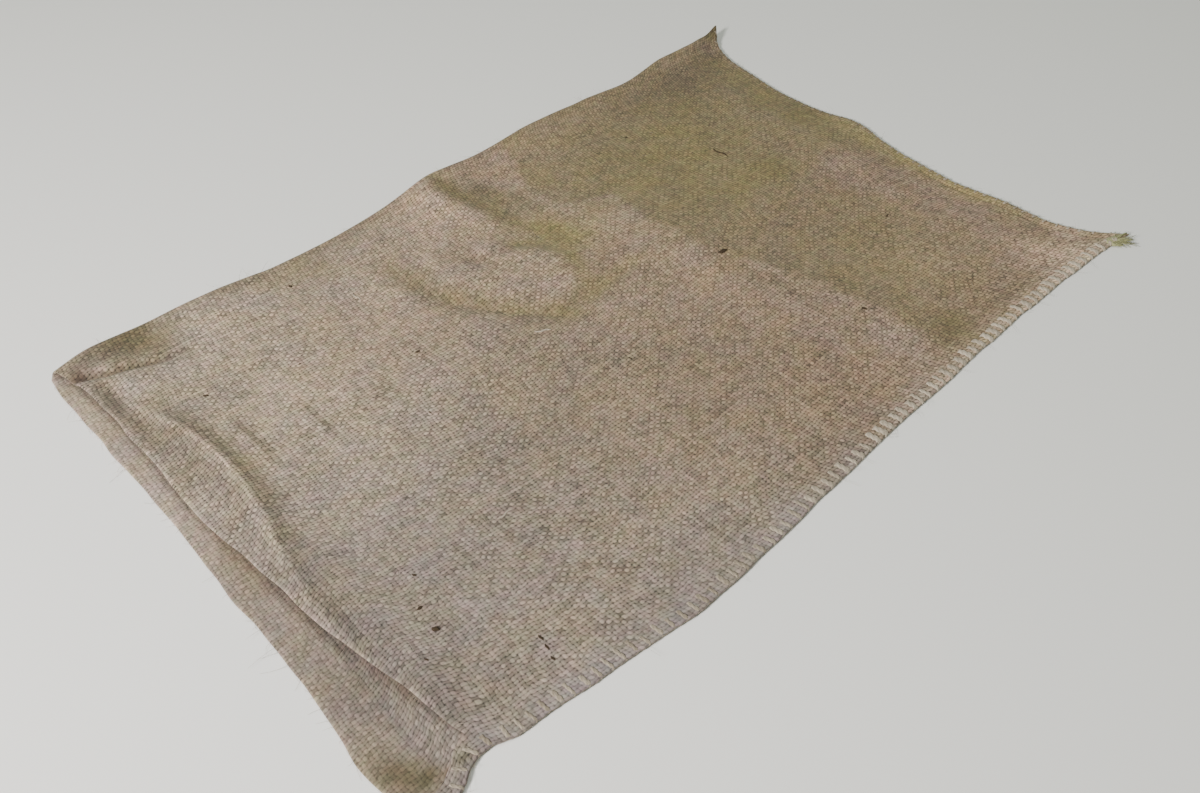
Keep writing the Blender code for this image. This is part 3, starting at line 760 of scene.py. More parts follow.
class Sheet:
    """Points and faces of the cloth, gathered piece by piece."""

    def __init__(self):
        self.points = []
        self.faces = []
        self.count = 0

    def add(self, data):
        """Adds an array of points and returns their numbers in the same arrangement."""
        size = int(np.prod(data.shape[:-1]))
        numbers = np.arange(self.count, self.count + size).reshape(data.shape[:-1])
        self.points.append(data.reshape(size, data.shape[-1]))
        self.count += size
        return numbers

    def strip(self, near, far):
        """Faces between two open rows of equally many points."""
        for a, b, c, d in zip(near[:-1], near[1:], far[1:], far[:-1]):
            face = [a, b, c] if c == d else [a, b, c, d]
            self.faces.append([b, c, d] if a == b else face)

    def tube(self, rings):
        for near, far in zip(rings, rings[1:]):
            self.strip(np.append(near, near[0]), np.append(far, far[0]))


# A row of a shell's points runs over the lower layer from the side seam, around the folded edge and
# over the upper layer. So many of them lie in the sewn band at each end.
BAND_POINTS = len(BAND_STEPS)


def outer_shell(sheet, low_points, top_points):
    """The outer faces of both layers."""
    columns = low_points.shape[1]
    outer = sheet.add(folded(low_points, top_points[:, :-1])[:-1])
    sheet.tube(outer)

    # It closes on one line of points along the bottom seam's edge.
    line = sheet.add(low_points[-1])
    below = outer[-1][:columns][::-1]
    above = np.append(outer[-1][columns + FOLD_STEPS - 1 :], below[-1])
    sheet.strip(below, line)
    sheet.strip(above, line)
    tip = list(outer[-1][columns - 1 : columns + FOLD_STEPS])
    sheet.faces += [[a, b, line[0]] for a, b in zip(tip, tip[1:])]
    return outer


def inner_shell(sheet, low_points, top_points, shown):
    """Their inner faces. They leave out the sewn bands and, where they don't show, most rows."""
    last = len(low_points) - BAND_POINTS - 1
    rows = [row for row in range(last) if shown[row] or row % DEEP_EVERY == 0] + [last]
    columns = low_points.shape[1] - BAND_POINTS
    inner = sheet.add(folded(low_points[rows, :columns], top_points[rows, :columns]))
    sheet.tube(inner)
    end = inner[-1]
    sheet.strip(end[:columns][::-1], end[columns + FOLD_STEPS - 1 :])
    sheet.faces.append(list(end[columns - 1 : columns + FOLD_STEPS]))
    return inner


def mouth_rim(sheet, outer_row, inner_row):
    """Rows around the mouth's rim, where the cloth turns inwards in a half circle."""
    outside = np.concatenate(sheet.points)[outer_row]
    within = np.concatenate(sheet.points)[inner_row]
    rim = [outer_row]
    for step in range(1, RIM_STEPS):
        angle = np.pi * step / RIM_STEPS
        half = (outside - within) / 2
        point = within + half * (1 + np.cos(angle))
        point[:, 1] -= np.linalg.norm(half[:, :3], axis=1) * np.sin(angle)
        rim.append(sheet.add(point))
    rim.append(inner_row)
    for near, far in zip(rim, rim[1:]):
        sheet.strip(near, far)
    return rim


def cloth_sheet():
    """The whole cloth: an outer and an inner shell that meet around the mouth's folded rim."""
    across = stations(WIDTH - BAND_START)
    along = stations(LENGTH - BAND_START)
    low = Layer(MOUTH_EDGE, across, along)
    top = Layer(LIP_EDGE, across, along)
    low.u = -FOLD_ARC - low.u
    low_height, top_height, wall = layer_heights(low, top)
    sheet = Sheet()
    top_points = layer_points(top, top_height, **tones(top.x, top.y))
    outer = outer_shell(sheet, layer_points(low, low_height), top_points)

    shown = top.from_mouth < INSIDE_SHOWN
    under = np.where(shown, top_height, lowest_nearby(top_height)) - wall
    inside = {"grey": 1.0, "hem_strip": in_hem(low)}
    low_points = layer_points(low, wall, **inside, **inside_tones(low.x, low.y))
    top_points = layer_points(top, np.maximum(under, wall + SEAM_GAP), **inside)
    inner = inner_shell(sheet, low_points, top_points, shown[:, 0])

    # The mouth's rim leaves out the ends of the side seam's band.
    mouth = outer[0]
    end = BAND_POINTS + inner.shape[1]
    rim = mouth_rim(sheet, mouth[BAND_POINTS:end], inner[0])
    below = mouth[: BAND_POINTS + 1][::-1]
    sheet.strip(below, np.append(mouth[end - 1 :], below[-1]))
    sheet.faces.append([row[0] for row in rim] + [row[-1] for row in rim][::-1])
    return sheet


def to_frame(points):
    """From the cloth's plan, in centimetres, to the frame, in metres."""
    low = np.array(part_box(CLOTH_NODE)[0])
    corner = np.array([PLAN_CORNER[0], PLAN_CORNER[1], 0.0])
    return (np.asarray(points) - corner) * CENTIMETRE + low


def mesh_object(name, places, faces, material):
    data = bpy.data.meshes.new(name)
    data.from_pydata(places.tolist(), [], faces)
    data.materials.append(material)
    data.validate()
    data.shade_smooth()
    thing = bpy.data.objects.new(name, data)
    bpy.context.scene.collection.objects.link(thing)
    return thing


def add_uv(thing, name, u, v):
    """A UV map from each point's two numbers."""
    corners = np.empty(len(thing.data.loops), dtype=int)
    thing.data.loops.foreach_get("vertex_index", corners)
    layer = thing.data.uv_layers.new(name=name)
    layer.uv.foreach_set("vector", np.stack([u[corners], v[corners]], axis=1).ravel())


def add_numbers(thing, names, columns):
    """Each point's numbers, one column for each name."""
    for name, values in zip(names, columns.T):
        attribute = thing.data.attributes.new(name, "FLOAT", "POINT")
        attribute.data.foreach_set("value", values.astype(np.float32))


def face_outwards(thing):
    mesh = bmesh.new()
    mesh.from_mesh(thing.data)
    bmesh.ops.recalc_face_normals(mesh, faces=mesh.faces)
    mesh.to_mesh(thing.data)
    mesh.free()


def make_cloth(material):
    sheet = cloth_sheet()
    points = np.concatenate(sheet.points)
    cloth = mesh_object("sack_sheet", to_frame(points[:, :3]), sheet.faces, material)
    add_uv(cloth, "cloth", points[:, 3] / WARP_PITCH, points[:, 4] / WEFT_PITCH)
    add_numbers(cloth, POINT_DATA, points[:, 5:])
    face_outwards(cloth)
    return cloth


def smooth_path(points, steps):
    """More rows of points on a smooth curve through the given rows."""
    t = np.linspace(0.0, 1.0, steps, endpoint=False)[None, :, None]
    a = np.concatenate([points[:1], points])[: len(points) - 1, None, :]
    b = points[:-1, None, :]
    c = points[1:, None, :]
    d = np.concatenate([points[2:], points[-1:]])[:, None, :]
    curve = 2 * b + (c - a) * t + (2 * a - 5 * b + 4 * c - d) * t**2 + (3 * b - a - 3 * c + d) * t**3
    return np.concatenate([curve.reshape(-1, points.shape[1]) / 2, points[-1:]])


def unit(vectors):
    return vectors / np.maximum(np.linalg.norm(vectors, axis=-1, keepdims=True), 1e-9)


def direction(turn, rise):
    """The way that points so many degrees round in plan and up."""
    turn = np.radians(turn)
    rise = np.radians(rise)
    return np.array([np.cos(turn) * np.cos(rise), np.sin(turn) * np.cos(rise), np.sin(rise)])


class Yarns:
    """Tubes of yarn gathered into one mesh, with the length along and the turn around each."""

    def __init__(self):
        self.sheet = Sheet()
        self.data = []

    def add(self, path, facing, wide, thick, sides, tone, ply=PLY):
        """A tube along a path, flattened across the way it faces. Sizes may vary along it."""
        tangent = unit(np.gradient(path, axis=0))
        across = unit(np.cross(tangent, facing))
        facing = np.cross(across, tangent)
        steps = np.linalg.norm(np.diff(path, axis=0), axis=1)
        length = np.concatenate([[0.0], np.cumsum(steps)])[:, None]
        angle = 2 * np.pi * np.arange(sides)[None, :] / sides
        sizes = [np.broadcast_to(value, len(path))[:, None] for value in (wide, thick, tone)]
        swelling = 1.0 + ply * np.cos(2 * (angle - 2 * np.pi * length / PLY_TURN))
        wide = (sizes[0] * swelling * np.sin(angle))[..., None]
        thick = (sizes[1] * swelling * np.cos(angle))[..., None]
        rings = path[:, None, :] + across[:, None, :] * wide + facing[:, None, :] * thick
        rings[..., 2] = np.maximum(rings[..., 2], YARN_FLOOR)
        numbers = self.sheet.add(rings)
        self.sheet.tube(numbers)
        self.sheet.faces += [list(numbers[0]), list(numbers[-1])]
        extras = np.stack(np.broadcast_arrays(length, angle, sizes[2]), axis=-1)
        self.data.append(extras.reshape(-1, 3))

    def make(self, name, material):
        places = to_frame(np.concatenate(self.sheet.points))
        yarn = mesh_object(name, places, self.sheet.faces, material)
        add_numbers(yarn, ("yarn_length", "yarn_turn", "yarn_tone"), np.concatenate(self.data))
        face_outwards(yarn)
        return yarn


def seam_line(seam, at):
    """A point on a seam's outer edge, and the way straight out of the cloth there."""
    half = STITCH / 2
    if seam.name.startswith("side"):
        slope = (seam_place(at + half) - seam_place(at - half)) / STITCH
        return np.stack([seam_place(at), at]), unit(np.stack([1.0, -slope]))
    slope = (bottom_place(at + half) - bottom_place(at - half)) / STITCH
    return np.stack([at, bottom_place(at)]), unit(np.stack([-slope, 1.0]))


def stitches(seam):
    """For each stitch of a seam, where it turns round the edge, and its depth, slant and yarn."""
    rng = np.random.default_rng(seam.seed)
    turns = np.arange(seam.start, seam.end, STITCH)
    count = len(turns)
    end_on = smoothstep(np.minimum(turns - seam.start, seam.end - turns) / seam.fade)
    depth = seam.depth * (END_DEPTH + (1.0 - END_DEPTH) * end_on) * rng.uniform(*DEPTH_RANGE, count)
    turns = turns + rng.uniform(*SHIFT_RANGE, count) * STITCH
    slant = rng.uniform(*SLANT_RANGE, count)
    wide = along_table(seam.yarn, "wide", turns) * rng.uniform(*WIDE_RANGE, count)
    thick = along_table(seam.yarn, "thick", turns) * rng.uniform(*THICK_RANGE, count)
    pale = along_table(seam.yarn, "pale", turns) + rng.uniform(*PALE_RANGE, count)
    return zip(turns, depth, slant, wide, thick, pale)


def stitch_point(seam, step, turn, depth, slant, thick):
    """Where the yarn is at one step of a stitch, and the way out of the cloth there."""
    lean = slant if step.lies in ("above", "within") else 1.0
    edge, outward = seam_line(seam, turn + step.along * lean * STITCH)
    place = edge - outward * depth * step.depth
    height = BAND_EDGE + ear_height(*place)
    if step.lies == "above":
        height = top_surface(*place) + thick * LIE_ABOVE
    if step.lies == "below":
        height = YARN_FLOOR + thick * LIE_BELOW + ear_height(*place)
    if step.lies == "round":
        place = place + outward * thick * LIE_ROUND
    return [*place, height, *outward]


def seam_yarn(seam, material):
    rows = []
    for number, (turn, depth, slant, wide, thick, pale) in enumerate(stitches(seam)):
        for step in STITCH_PATH:
            row = stitch_point(seam, step, turn, depth, slant, thick)
            rows.append(row + [step.facing - 360.0 * number, wide, thick, pale])
    rows = smooth_path(np.array(rows), STITCH_SMOOTH)
    outward = unit(np.pad(rows[:, 3:5], ((0, 0), (0, 1))))
    facing = np.radians(rows[:, 5])[:, None]
    facing = outward * np.cos(facing) + UP * np.sin(facing)
    yarns = Yarns()
    yarns.add(rows[:, :3], facing, rows[:, 6], rows[:, 7], YARN_SIDES, rows[:, 8])
    return yarns.make(seam.name, material)


def fibre_bundle(yarns, tuft, rng):
    """One bundle of a frayed end's fibres. It leaves the yarn, spreads, bends and thins out."""
    turn = tuft.turn + rng.normal(0.0, tuft.spread)
    rise = np.clip(tuft.rise + rng.normal(0.0, tuft.spread), 0.0, STEEPEST)
    offset = rng.normal(0.0, tuft.thick / 2, 3) * np.array([1.0, 1.0, 0.4])
    length = tuft.length * rng.uniform(*FIBRE_LENGTHS)
    bend = rng.normal(0.0, FIBRE_BEND, 3) + UP * FIBRE_DROOP
    t = np.linspace(FIBRE_ROOT, 1.0, FIBRE_RINGS)[:, None]
    free = np.clip(t, 0.0, 1.0)
    path = np.array([tuft.x, tuft.y, BAND_EDGE]) + offset * (1.0 - FIBRE_GATHERED * free)
    path = path + direction(turn, rise) * length * t + bend * length * free**2
    size = FIBRE * rng.uniform(*FIBRE_SIZES) * (1.0 - FIBRE_TAPER * free[:, 0])
    facing = np.tile(UP, (FIBRE_RINGS, 1)) + rng.normal(0.0, 0.2, 3)
    yarns.add(path, facing, size, size, 6, rng.uniform(*FIBRE_TONES), ply=0.0)


def tuft_yarns(material):
    """Frayed ends of the sewing yarn, each in fibres that spread from one point."""
    yarns = Yarns()
    for tuft in TUFTS:
        rng = np.random.default_rng(tuft.seed)
        for _ in range(tuft.fibres):
            fibre_bundle(yarns, tuft, rng)
    for tip in TIPS:
        t = np.linspace(0.0, 1.0, TIP_RINGS)
        path = np.array([tip.x, tip.y, BAND_EDGE])
        path = path + direction(tip.turn, tip.rise) * tip.length * t[:, None]
        size = tip.wide * (1.0 - TIP_TAPER * t)
        facing = np.tile([0.3, 0.2, 1.0], (TIP_RINGS, 1))
        yarns.add(path, facing, size, size * TIP_FLAT, YARN_SIDES, tip.tone)
    return yarns.make("corner_yarn_ends", material)


def make_flecks(name, flecks, tone, material):
    """Short tapered bits that lie on the upper layer, with a slight wave."""
    yarns = Yarns()
    for fleck in flecks:
        share = np.linspace(-0.5, 0.5, FLECK_RINGS)
        turn = np.radians(fleck.turn)
        wave = FLECK_WAVE * fleck.length * np.sin(share * FLECK_WAVES)
        x = fleck.x + share * fleck.length * np.cos(turn) - wave * np.sin(turn)
        y = fleck.y + share * fleck.length * np.sin(turn) + wave * np.cos(turn)
        path = np.stack([x, y, top_surface(x, y) + fleck.wide * FLECK_LIFT], axis=-1)
        size = fleck.wide * np.sqrt(np.maximum(1.0 - (2 * share) ** 2, 0.03))
        yarns.add(path, np.tile(UP, (FLECK_RINGS, 1)), size, size * FLECK_THICK, 8, tone)
    return yarns.make(name, material)


def hair_roots(rng):
    """Where loose fibres start, and the way each leans out of the cloth."""
    x = rng.uniform(1.0, WIDTH - 1.5, HAIR_ON_TOP)
    y = rng.uniform(3.0, LENGTH - 2.0, HAIR_ON_TOP)
    turn = rng.uniform(0.0, 2 * np.pi, HAIR_ON_TOP)
    along = rng.uniform(1.0, LENGTH, HAIR_PER_EDGE)
    across = rng.uniform(1.0, WIDTH - 2.0, HAIR_PER_EDGE)
    one = np.ones(HAIR_PER_EDGE)
    lean = [rng.normal(0.0, HAIR_LEAN, HAIR_PER_EDGE) for _ in range(5)]
    lip = mouth_place(LIP_EDGE, across)
    roots = [
        (x, y, top_surface(x, y) - HAIR, np.cos(turn), np.sin(turn)),
        (fold_place(along), along, along_table(FOLD_EDGE, "height", along) / 2, -one, lean[0]),
        (seam_place(along) - BAND_EDGE, along, BAND_EDGE * one, one, lean[1]),
        (across, bottom_place(across) - BAND_EDGE, BAND_EDGE * one, lean[2], one),
        (across, mouth_place(MOUTH_EDGE, across), CLOTH * one, lean[3], -one),
        (across, lip, top_surface(across, lip + HEM) - CLOTH, lean[4], -one),
    ]
    return np.concatenate([np.stack(rows, axis=-1) for rows in roots])


def stray_fibres(material):
    rng = np.random.default_rng(HAIR_SEED)
    yarns = Yarns()
    for x, y, z, way_x, way_y in hair_roots(rng):
        length = rng.uniform(*HAIR_LENGTHS)
        way = unit(np.array([way_x, way_y, rng.uniform(*HAIR_RISES)]))
        bend = rng.normal(0.0, HAIR_BEND, 3)
        bend[2] = -abs(bend[2]) * 0.5
        t = np.linspace(0.0, 1.0, HAIR_RINGS)[:, None]
        path = np.array([x, y, z]) + (way * t + bend * t**2) * length
        size = HAIR * (1.0 - HAIR_TAPER * t[:, 0])
        facing = np.tile([0.1, 0.2, 1.0], (HAIR_RINGS, 1))
        yarns.add(path, facing, size, size, 4, rng.uniform(*HAIR_TONES), ply=0.0)
    return yarns.make("stray_fibres", material)


class Wire:
    """An output of a shader's nodes that takes part in sums like a number."""

    def __init__(self, shader, socket):
        self.shader = shader
        self.socket = socket

    def math(self, operation, *others, clamp=False):
        inputs = dict(enumerate((self, *others)))
        return self.shader.node("Math", 0, inputs, operation=operation, use_clamp=clamp)

    def __add__(self, other):
        return self.math("ADD", other)

    def __sub__(self, other):
        return self.math("SUBTRACT", other)

    def __mul__(self, other):
        return self.math("MULTIPLY", other)

    def __rsub__(self, other):
        return self * -1.0 + other

    def clamped(self):
        """Held between 0 and 1."""
        return self.math("ADD", 0.0, clamp=True)

    def ramp(self, low, high):
        """0 below low and 1 above high, softly."""
        inputs = {"Value": self, "From Min": low, "From Max": high}
        return self.shader.node("MapRange", "Result", inputs, interpolation_type="SMOOTHSTEP")


class Shader:
    """A material and the nodes that work out its colour and its height."""

    def __init__(self, name, roughness, specular, sheen):
        self.material = bpy.data.materials.new(name)
        self.material.use_nodes = True
        self.tree = self.material.node_tree
        self.surface = self.tree.nodes["Principled BSDF"]
        self.surface.inputs["Roughness"].default_value = roughness
        self.surface.inputs["Specular IOR Level"].default_value = specular
        self.surface.inputs["Sheen Weight"].default_value = sheen
        self.surface.inputs["Sheen Roughness"].default_value = SHEEN_ROUGHNESS

    def node(self, kind, output, inputs, **settings):
        """One output of a new node that has the given inputs, by name or number, and settings."""
        node = self.tree.nodes.new("ShaderNode" + kind)
        for name, value in settings.items():
            setattr(node, name, value)
        for slot, value in inputs.items():
            if isinstance(value, Wire):
                self.tree.links.new(value.socket, node.inputs[slot])
            else:
                node.inputs[slot].default_value = value
        return Wire(self, node.outputs[output])

    def number(self, name):
        """A number that the mesh holds for each of its points."""
        return self.node("Attribute", "Fac", {}, attribute_name=name)

    def uv(self, name):
        place = self.node("UVMap", 0, {}, uv_map=name)
        split = self.node("SeparateXYZ", "X", {0: place})
        return split, Wire(self, split.socket.node.outputs["Y"])

    def vector(self, x, y, z):
        return self.node("CombineXYZ", 0, {0: x, 1: y, 2: z})

    def noise(self, x, y, z, detail=2.0, roughness=0.5):
        """Soft noise from -1 to 1, with spots about one unit apart."""
        inputs = {"Vector": self.vector(x, y, z), "Scale": 1.0}
        inputs.update({"Detail": detail, "Roughness": roughness})
        return self.node("TexNoise", "Fac", inputs) * 2.0 - 1.0

    def spots(self, kind, u, v):
        """The same over the cloth, in one of the kinds named below."""
        scaled = (u * kind.across, v * kind.along)
        return self.noise(*scaled, kind.seed, kind.detail, kind.roughness)

    def chance(self, x, y, z):
        """A number from -1 to 1 that is different in each unit of place."""
        return self.node("TexWhiteNoise", "Value", {"Vector": self.vector(x, y, z)}) * 2.0 - 1.0

    def mix(self, share, first, second, blend="MIX"):
        inputs = {0: share, 6: first, 7: second}
        settings = {"data_type": "RGBA", "blend_type": blend, "clamp_factor": False}
        return self.node("Mix", 2, inputs, **settings)

    def tinted(self, share, color, tint):
        """A colour times a tint, as far as the share goes."""
        return self.mix(share, color, self.mix(1.0, color, tint, "MULTIPLY"))

    def finish(self, color, height, depth, strength):
        """Joins the colour and the height to the surface. Returns the material."""
        inputs = {"Strength": strength, "Distance": depth, "Height": height}
        normal = self.node("Bump", 0, inputs)
        self.tree.links.new(color.socket, self.surface.inputs["Base Color"])
        self.tree.links.new(normal.socket, self.surface.inputs["Normal"])
        return self.material


def yarn_round(across, width):
    """Height across one yarn, 1 along its middle and 0 beside it."""
    inside = 1.0 - (across * 2.0).math("DIVIDE", width).math("POWER", 2.0)
    return inside.math("MAXIMUM", 0.0).math("SQRT")


# Kinds of soft noise over the weave: how many spots there are to a yarn each way, and the noise's
# own place, fineness and roughness.
Spots = namedtuple("Spots", "across along seed detail roughness", defaults=(2.0, 0.5))
DRIFT_U = Spots(0.11, 0.11, 3.0)
DRIFT_V = Spots(0.11, 0.11, 9.0)
WAVER_U = Spots(0.45, 0.45, 5.0, 0.0)
WAVER_V = Spots(0.45, 0.45, 7.0, 0.0)
SLUB_WARP = Spots(5.17, 0.13, 1.0)
SLUB_WEFT = Spots(0.13, 5.17, 2.0)
STREAK_WARP = Spots(3.71, 0.035, 11.0, 1.0)
STREAK_WEFT = Spots(0.035, 3.71, 12.0, 1.0)
PINCH = Spots(0.8, 0.8, 40.0, 1.0)
CLUMP = Spots(0.55, 0.55, 15.0, 1.0)
FIBRE_WARP = Spots(4.0, 1.4, 4.0, 3.0, 0.7)
FIBRE_WEFT = Spots(1.4, 4.0, 6.0, 3.0, 0.7)
CLOUD = Spots(0.06, 0.06, 20.0, 4.0, 0.6)
SPECKLE = Spots(0.30, 0.30, 30.0, 3.0, 0.7)
BLOTCH = Spots(0.10, 0.10, 50.0, 3.0, 0.6)

# The weave's unevenness. One unit is one yarn.
DRIFT = 0.9  # how far the yarns wander out of line over many yarns
WAVER = 0.22  # and over few
YARN_WIDTH = 0.86
WARP_FINER = 0.04  # how much narrower the warp is than that, and how much wider the weft
SLUB_SHARE = 0.30  # how much one yarn's width varies along it
PINCH_SHARE = 0.34  # how much the width of all yarns varies from place to place
WARP_CROWN = 0.30  # how much lower a yarn is where it dips under
WEFT_CROWN = 0.46
YARN_TONE = 0.6
SLUB_TONE = 0.5  # how much of that comes with a yarn's width
STREAK_TONE = 1.4  # and from yarn to yarn
WEFT_PALER = 0.40  # how much paler the weft is, and darker the warp
SPOT_TONE = 0.68  # how much the tone varies from crossing to crossing
CLUMP_TONE = 0.55  # and over a few of them


def plain_weave(shader, u, v):
    """A plain weave's height and tone, whether the warp is on top, and how its yarns wander."""
    drift_u = shader.spots(DRIFT_U, u, v)
    drift_v = shader.spots(DRIFT_V, u, v)
    u = u + drift_u * DRIFT + shader.spots(WAVER_U, u, v) * WAVER
    v = v + drift_v * DRIFT + shader.spots(WAVER_V, u, v) * WAVER
    i = u.math("FLOOR")
    j = v.math("FLOOR")
    across_warp = u - i - 0.5
    across_weft = v - j - 0.5
    side = 1.0 - (i + j).math("FLOORED_MODULO", 2.0) * 2.0

    slub_warp = shader.spots(SLUB_WARP, i, v)
    slub_weft = shader.spots(SLUB_WEFT, u, j)
    width = shader.spots(PINCH, u, v) * PINCH_SHARE + YARN_WIDTH
    warp_crown = side * (across_weft * np.pi).math("COSINE") * WARP_CROWN + (1.0 - WARP_CROWN)
    weft_crown = side * (across_warp * np.pi).math("COSINE") * -WEFT_CROWN + (1.0 - WEFT_CROWN)
    warp = yarn_round(across_warp, slub_warp * SLUB_SHARE + width - WARP_FINER) * warp_crown
    weft = yarn_round(across_weft, slub_weft * SLUB_SHARE + width + WARP_FINER) * weft_crown
    warp_on_top = warp.math("GREATER_THAN", weft)

    warp_tone = slub_warp * SLUB_TONE + shader.spots(STREAK_WARP, i, v) * STREAK_TONE - WEFT_PALER
    weft_tone = slub_weft * SLUB_TONE + shader.spots(STREAK_WEFT, u, j) * STREAK_TONE + WEFT_PALER
    tone = (weft_tone + (warp_tone - weft_tone) * warp_on_top) * YARN_TONE
    tone = tone + shader.chance(i, j, 0.5) * SPOT_TONE + shader.spots(CLUMP, u, v) * CLUMP_TONE
    return warp.math("MAXIMUM", weft), tone, warp_on_top, u, v


SHEEN_ROUGHNESS = 0.6
JUTE_GREY = (0.290, 0.235, 0.180, 1.0)
JUTE_BROWN = (0.290, 0.205, 0.140, 1.0)
JUTE_OLIVE = (0.272, 0.220, 0.100, 1.0)
BARK = (0.022, 0.014, 0.008, 1.0)
BARK_LIGHT = (0.085, 0.055, 0.030, 1.0)
PINKISH = (1.08, 0.97, 1.00, 1.0)
GREENISH = (0.94, 1.02, 0.95, 1.0)
YELLOWISH = (1.02, 1.01, 0.92, 1.0)
MAUVE = (0.99, 0.98, 1.08, 1.0)
GREYED_TINT = (0.84, 0.87, 0.97, 1.0)
HEM_TAN = (1.06, 1.03, 0.96, 1.0)
YARN_DARK = (0.200, 0.158, 0.112, 1.0)
YARN_LIGHT = (0.620, 0.535, 0.420, 1.0)
FRAYED_DARK = (0.150, 0.145, 0.060, 1.0)
FRAYED_LIGHT = (0.460, 0.460, 0.230, 1.0)
FLOOR_PALE = (0.86, 0.86, 0.85, 1.0)

# How bright the cloth is: shares of the weave's tone, of its fibres, of broad clouds and of the
# weave's height, which paints shade into the low places between the yarns.
WEAVE_SHARE = 0.46
FIBRE_SHARE = 0.55
CLOUD_SHARE = 0.26
GAP_SHADE_SHARE = 0.85
DARKEST = 0.15
SHADE_AND_TONE_DARKNESS = -0.52  # of the log of the colour, where dark, the painted shade and darker tone, is 1
FIBRE_HEIGHT = 0.16


def cloth_material():
    shader = Shader("jute_weave", 0.88, 0.25, 0.10)
    u, v = shader.uv("cloth")
    height, tone, warp_on_top, u_drawn, v_drawn = plain_weave(shader, u, v)
    fibre_warp = shader.spots(FIBRE_WARP, u_drawn, v_drawn)
    fibre_weft = shader.spots(FIBRE_WEFT, u_drawn, v_drawn)
    fibre = fibre_weft + (fibre_warp - fibre_weft) * warp_on_top
    cloud = shader.spots(CLOUD, u, v)
    speckle = shader.spots(SPECKLE, u, v)
    blotch = shader.spots(BLOTCH, u, v)
    olive = shader.number("olive")
    grey = shader.number("grey")
    hem_strip = shader.number("hem_strip")

    brown = shader.number("brown").math("ADD", cloud * 0.5, clamp=True)
    # Olive tints the painted shade over the far part and behind folds, and the cloth's own olive
    # patches.
    tint = shader.mix(olive.clamped(), shader.mix(brown, JUTE_GREY, JUTE_BROWN), JUTE_OLIVE)
    hue = shader.mix(speckle.ramp(-0.4, 0.4), GREENISH, PINKISH)
    tint = shader.mix(1.0, tint, hue, "MULTIPLY")
    hue = shader.mix(blotch.ramp(-0.35, 0.35), YELLOWISH, MAUVE)
    tint = shader.mix(1.0, tint, hue, "MULTIPLY")
    tint = shader.tinted(grey, tint, GREYED_TINT)
    tint = shader.tinted(hem_strip, tint, HEM_TAN)

    # Where the cloth is olive, greyed or in the hem, its weave shows less.
    weave = 1.0 - (hem_strip * 0.08 + olive * 0.22 + grey * 0.20).clamped()
    bright = tone * weave * WEAVE_SHARE + fibre * FIBRE_SHARE + cloud * CLOUD_SHARE + 1.0
    # Painted shade between the yarns, where the weave is low.
    gap_shade = 1.0 - weave * GAP_SHADE_SHARE + height.ramp(0.0, 0.85) * weave
    bright = bright.math("MAXIMUM", DARKEST) * gap_shade
    # Painted shade and darker tone that the mesh's points hold as dark.
    bright = bright * (shader.number("dark") * SHADE_AND_TONE_DARKNESS).math("EXPONENT")
    color = shader.node("VectorMath", 0, {0: tint, "Scale": bright}, operation="SCALE")
    return shader.finish(color, (height + fibre * FIBRE_HEIGHT) * weave, 0.0007, 0.45)


def yarn_material(name, dark, light_color):
    """Sewing yarn: light strands along it, with painted shade in the groove between its plies."""
    shader = Shader(name, 0.85, 0.25, 0.15)
    length = shader.number("yarn_length")
    tone = shader.number("yarn_tone")
    lay = shader.number("yarn_turn") - length * (2 * np.pi / PLY_TURN)
    groove = (lay * 2.0).math("COSINE")
    around = (lay.math("COSINE") * 3.0, lay.math("SINE") * 3.0)
    strand = shader.noise(*around, length * 1.2, 4.0, 0.7)
    blotch = shader.noise(length * 0.9, tone * 20.0, 3.0)
    light = strand * 0.30 + groove * 0.10 + tone * 0.32 + blotch * 0.15 + 0.42
    color = shader.mix(light.math("MAXIMUM", 0.0), dark, light_color)
    return shader.finish(color, strand * 0.5 + groove * 0.3, 0.0006, 0.7)


def bark_material():
    """Bits of bark among the fibres."""
    shader = Shader("bark", 0.8, 0.3, 0.0)
    turn = shader.number("yarn_turn") * 3.0
    grain = shader.noise(turn, shader.number("yarn_length") * 2.5, 8.0, 4.0, 0.7)
    color = shader.mix(grain.ramp(-0.4, 0.5), BARK, BARK_LIGHT)
    return shader.finish(color, grain, 0.0004, 0.8)


FLOOR_HALF = 3.0  # metres
FLOOR_DROP = 0.0004  # how far it lies below the solids


def make_floor():
    shader = Shader("pale_floor", 0.7, 0.2, 0.0)
    shader.surface.inputs["Base Color"].default_value = FLOOR_PALE
    low = CAD_BOX[0].z - FLOOR_DROP
    corners = [(x * FLOOR_HALF, y * FLOOR_HALF, low) for x, y in ((-1, -1), (1, -1), (1, 1), (-1, 1))]
    floor = mesh_object("floor", np.array(corners), [[0, 1, 2, 3]], shader.material)


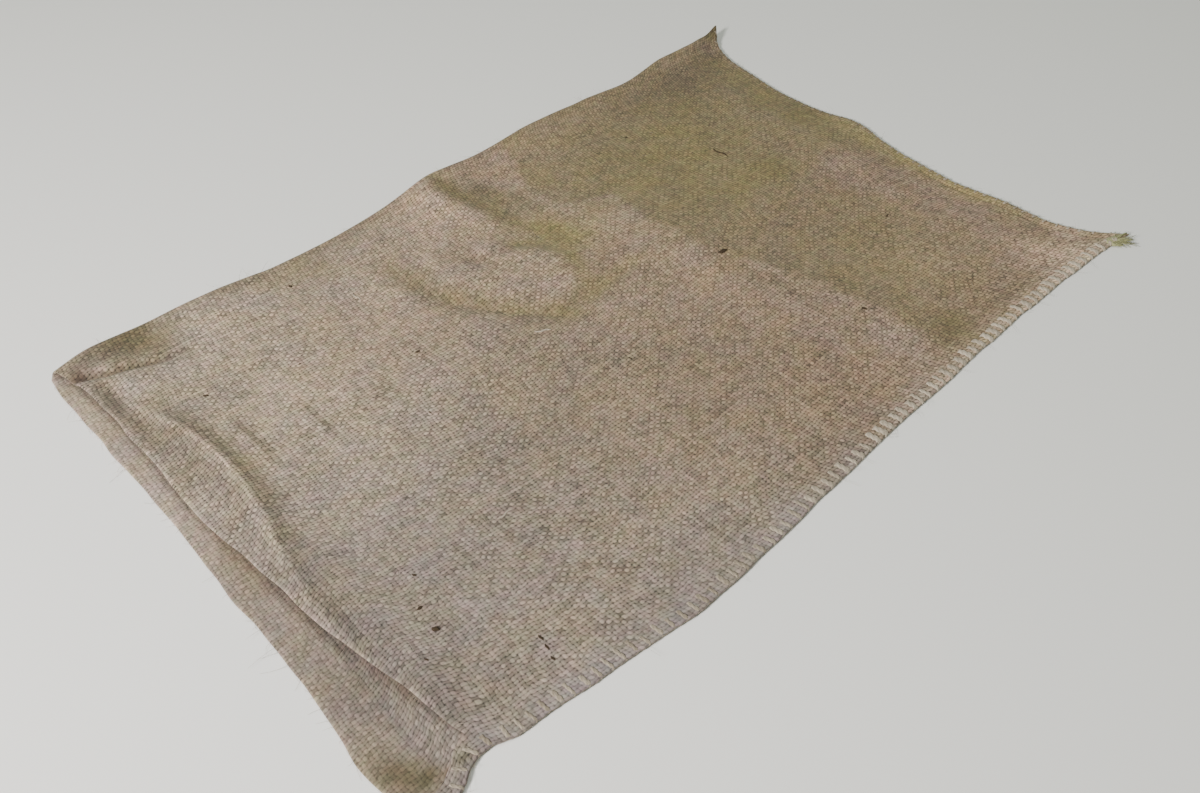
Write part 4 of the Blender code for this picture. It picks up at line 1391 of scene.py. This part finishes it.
# The camera, in the frame's metres and degrees.
LENS = 31.42
CAMERA_PLACE = (0.4750, -0.4832, 0.6194)
CAMERA_TURN = (42.388, -0.207, 46.538)

Lamp = namedtuple("Lamp", "name place size power color")
LAMPS = rows_of(
    Lamp,
    ("key", (0.08, -1.85, 1.15), 0.45, 72.0, (1.0, 0.955, 0.925)),
    ("sky", (0.10, 0.30, 2.20), 1.8, 14.0, (0.97, 1.0, 0.93)),
)
WORLD_COLOR = (0.93, 1.0, 0.86, 1.0)
WORLD_STRENGTH = 0.30


def make_camera():
    data = bpy.data.cameras.new("camera")
    data.lens = LENS
    data.sensor_width = 36.0
    data.dof.use_dof = False
    camera = bpy.data.objects.new("camera", data)
    camera.location = CAMERA_PLACE
    camera.rotation_euler = [np.radians(angle) for angle in CAMERA_TURN]
    bpy.context.scene.collection.objects.link(camera)
    bpy.context.scene.camera = camera


def make_lights():
    for lamp in LAMPS:
        data = bpy.data.lights.new(lamp.name, "AREA")
        data.shape = "DISK"
        data.size = lamp.size
        data.energy = lamp.power
        data.color = lamp.color
        light = bpy.data.objects.new(lamp.name, data)
        light.location = lamp.place
        light.rotation_euler = Vector(lamp.place).to_track_quat("Z", "Y").to_euler()
        bpy.context.scene.collection.objects.link(light)
    world = bpy.data.worlds.new("soft_light")
    world.use_nodes = True
    background = world.node_tree.nodes["Background"]
    background.inputs[0].default_value = WORLD_COLOR
    background.inputs[1].default_value = WORLD_STRENGTH
    bpy.context.scene.world = world


make_camera()
make_lights()
make_floor()

cloth = make_cloth(cloth_material())
sewing = yarn_material("sewing_yarn", YARN_DARK, YARN_LIGHT)
frayed = yarn_material("frayed_yarn", FRAYED_DARK, FRAYED_LIGHT)
trimmings = [seam_yarn(seam, sewing) for seam in SEAMS] + [tuft_yarns(frayed)]
trimmings += [make_flecks("bark_flecks", BARK_FLECKS, -FLECK_TONE, bark_material())]
trimmings += [make_flecks("pale_slubs", PALE_FLECKS, FLECK_TONE, sewing), stray_fibres(sewing)]
for piece in (cloth, *trimmings):
    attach(piece, "root")
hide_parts(CLOTH_NODE)
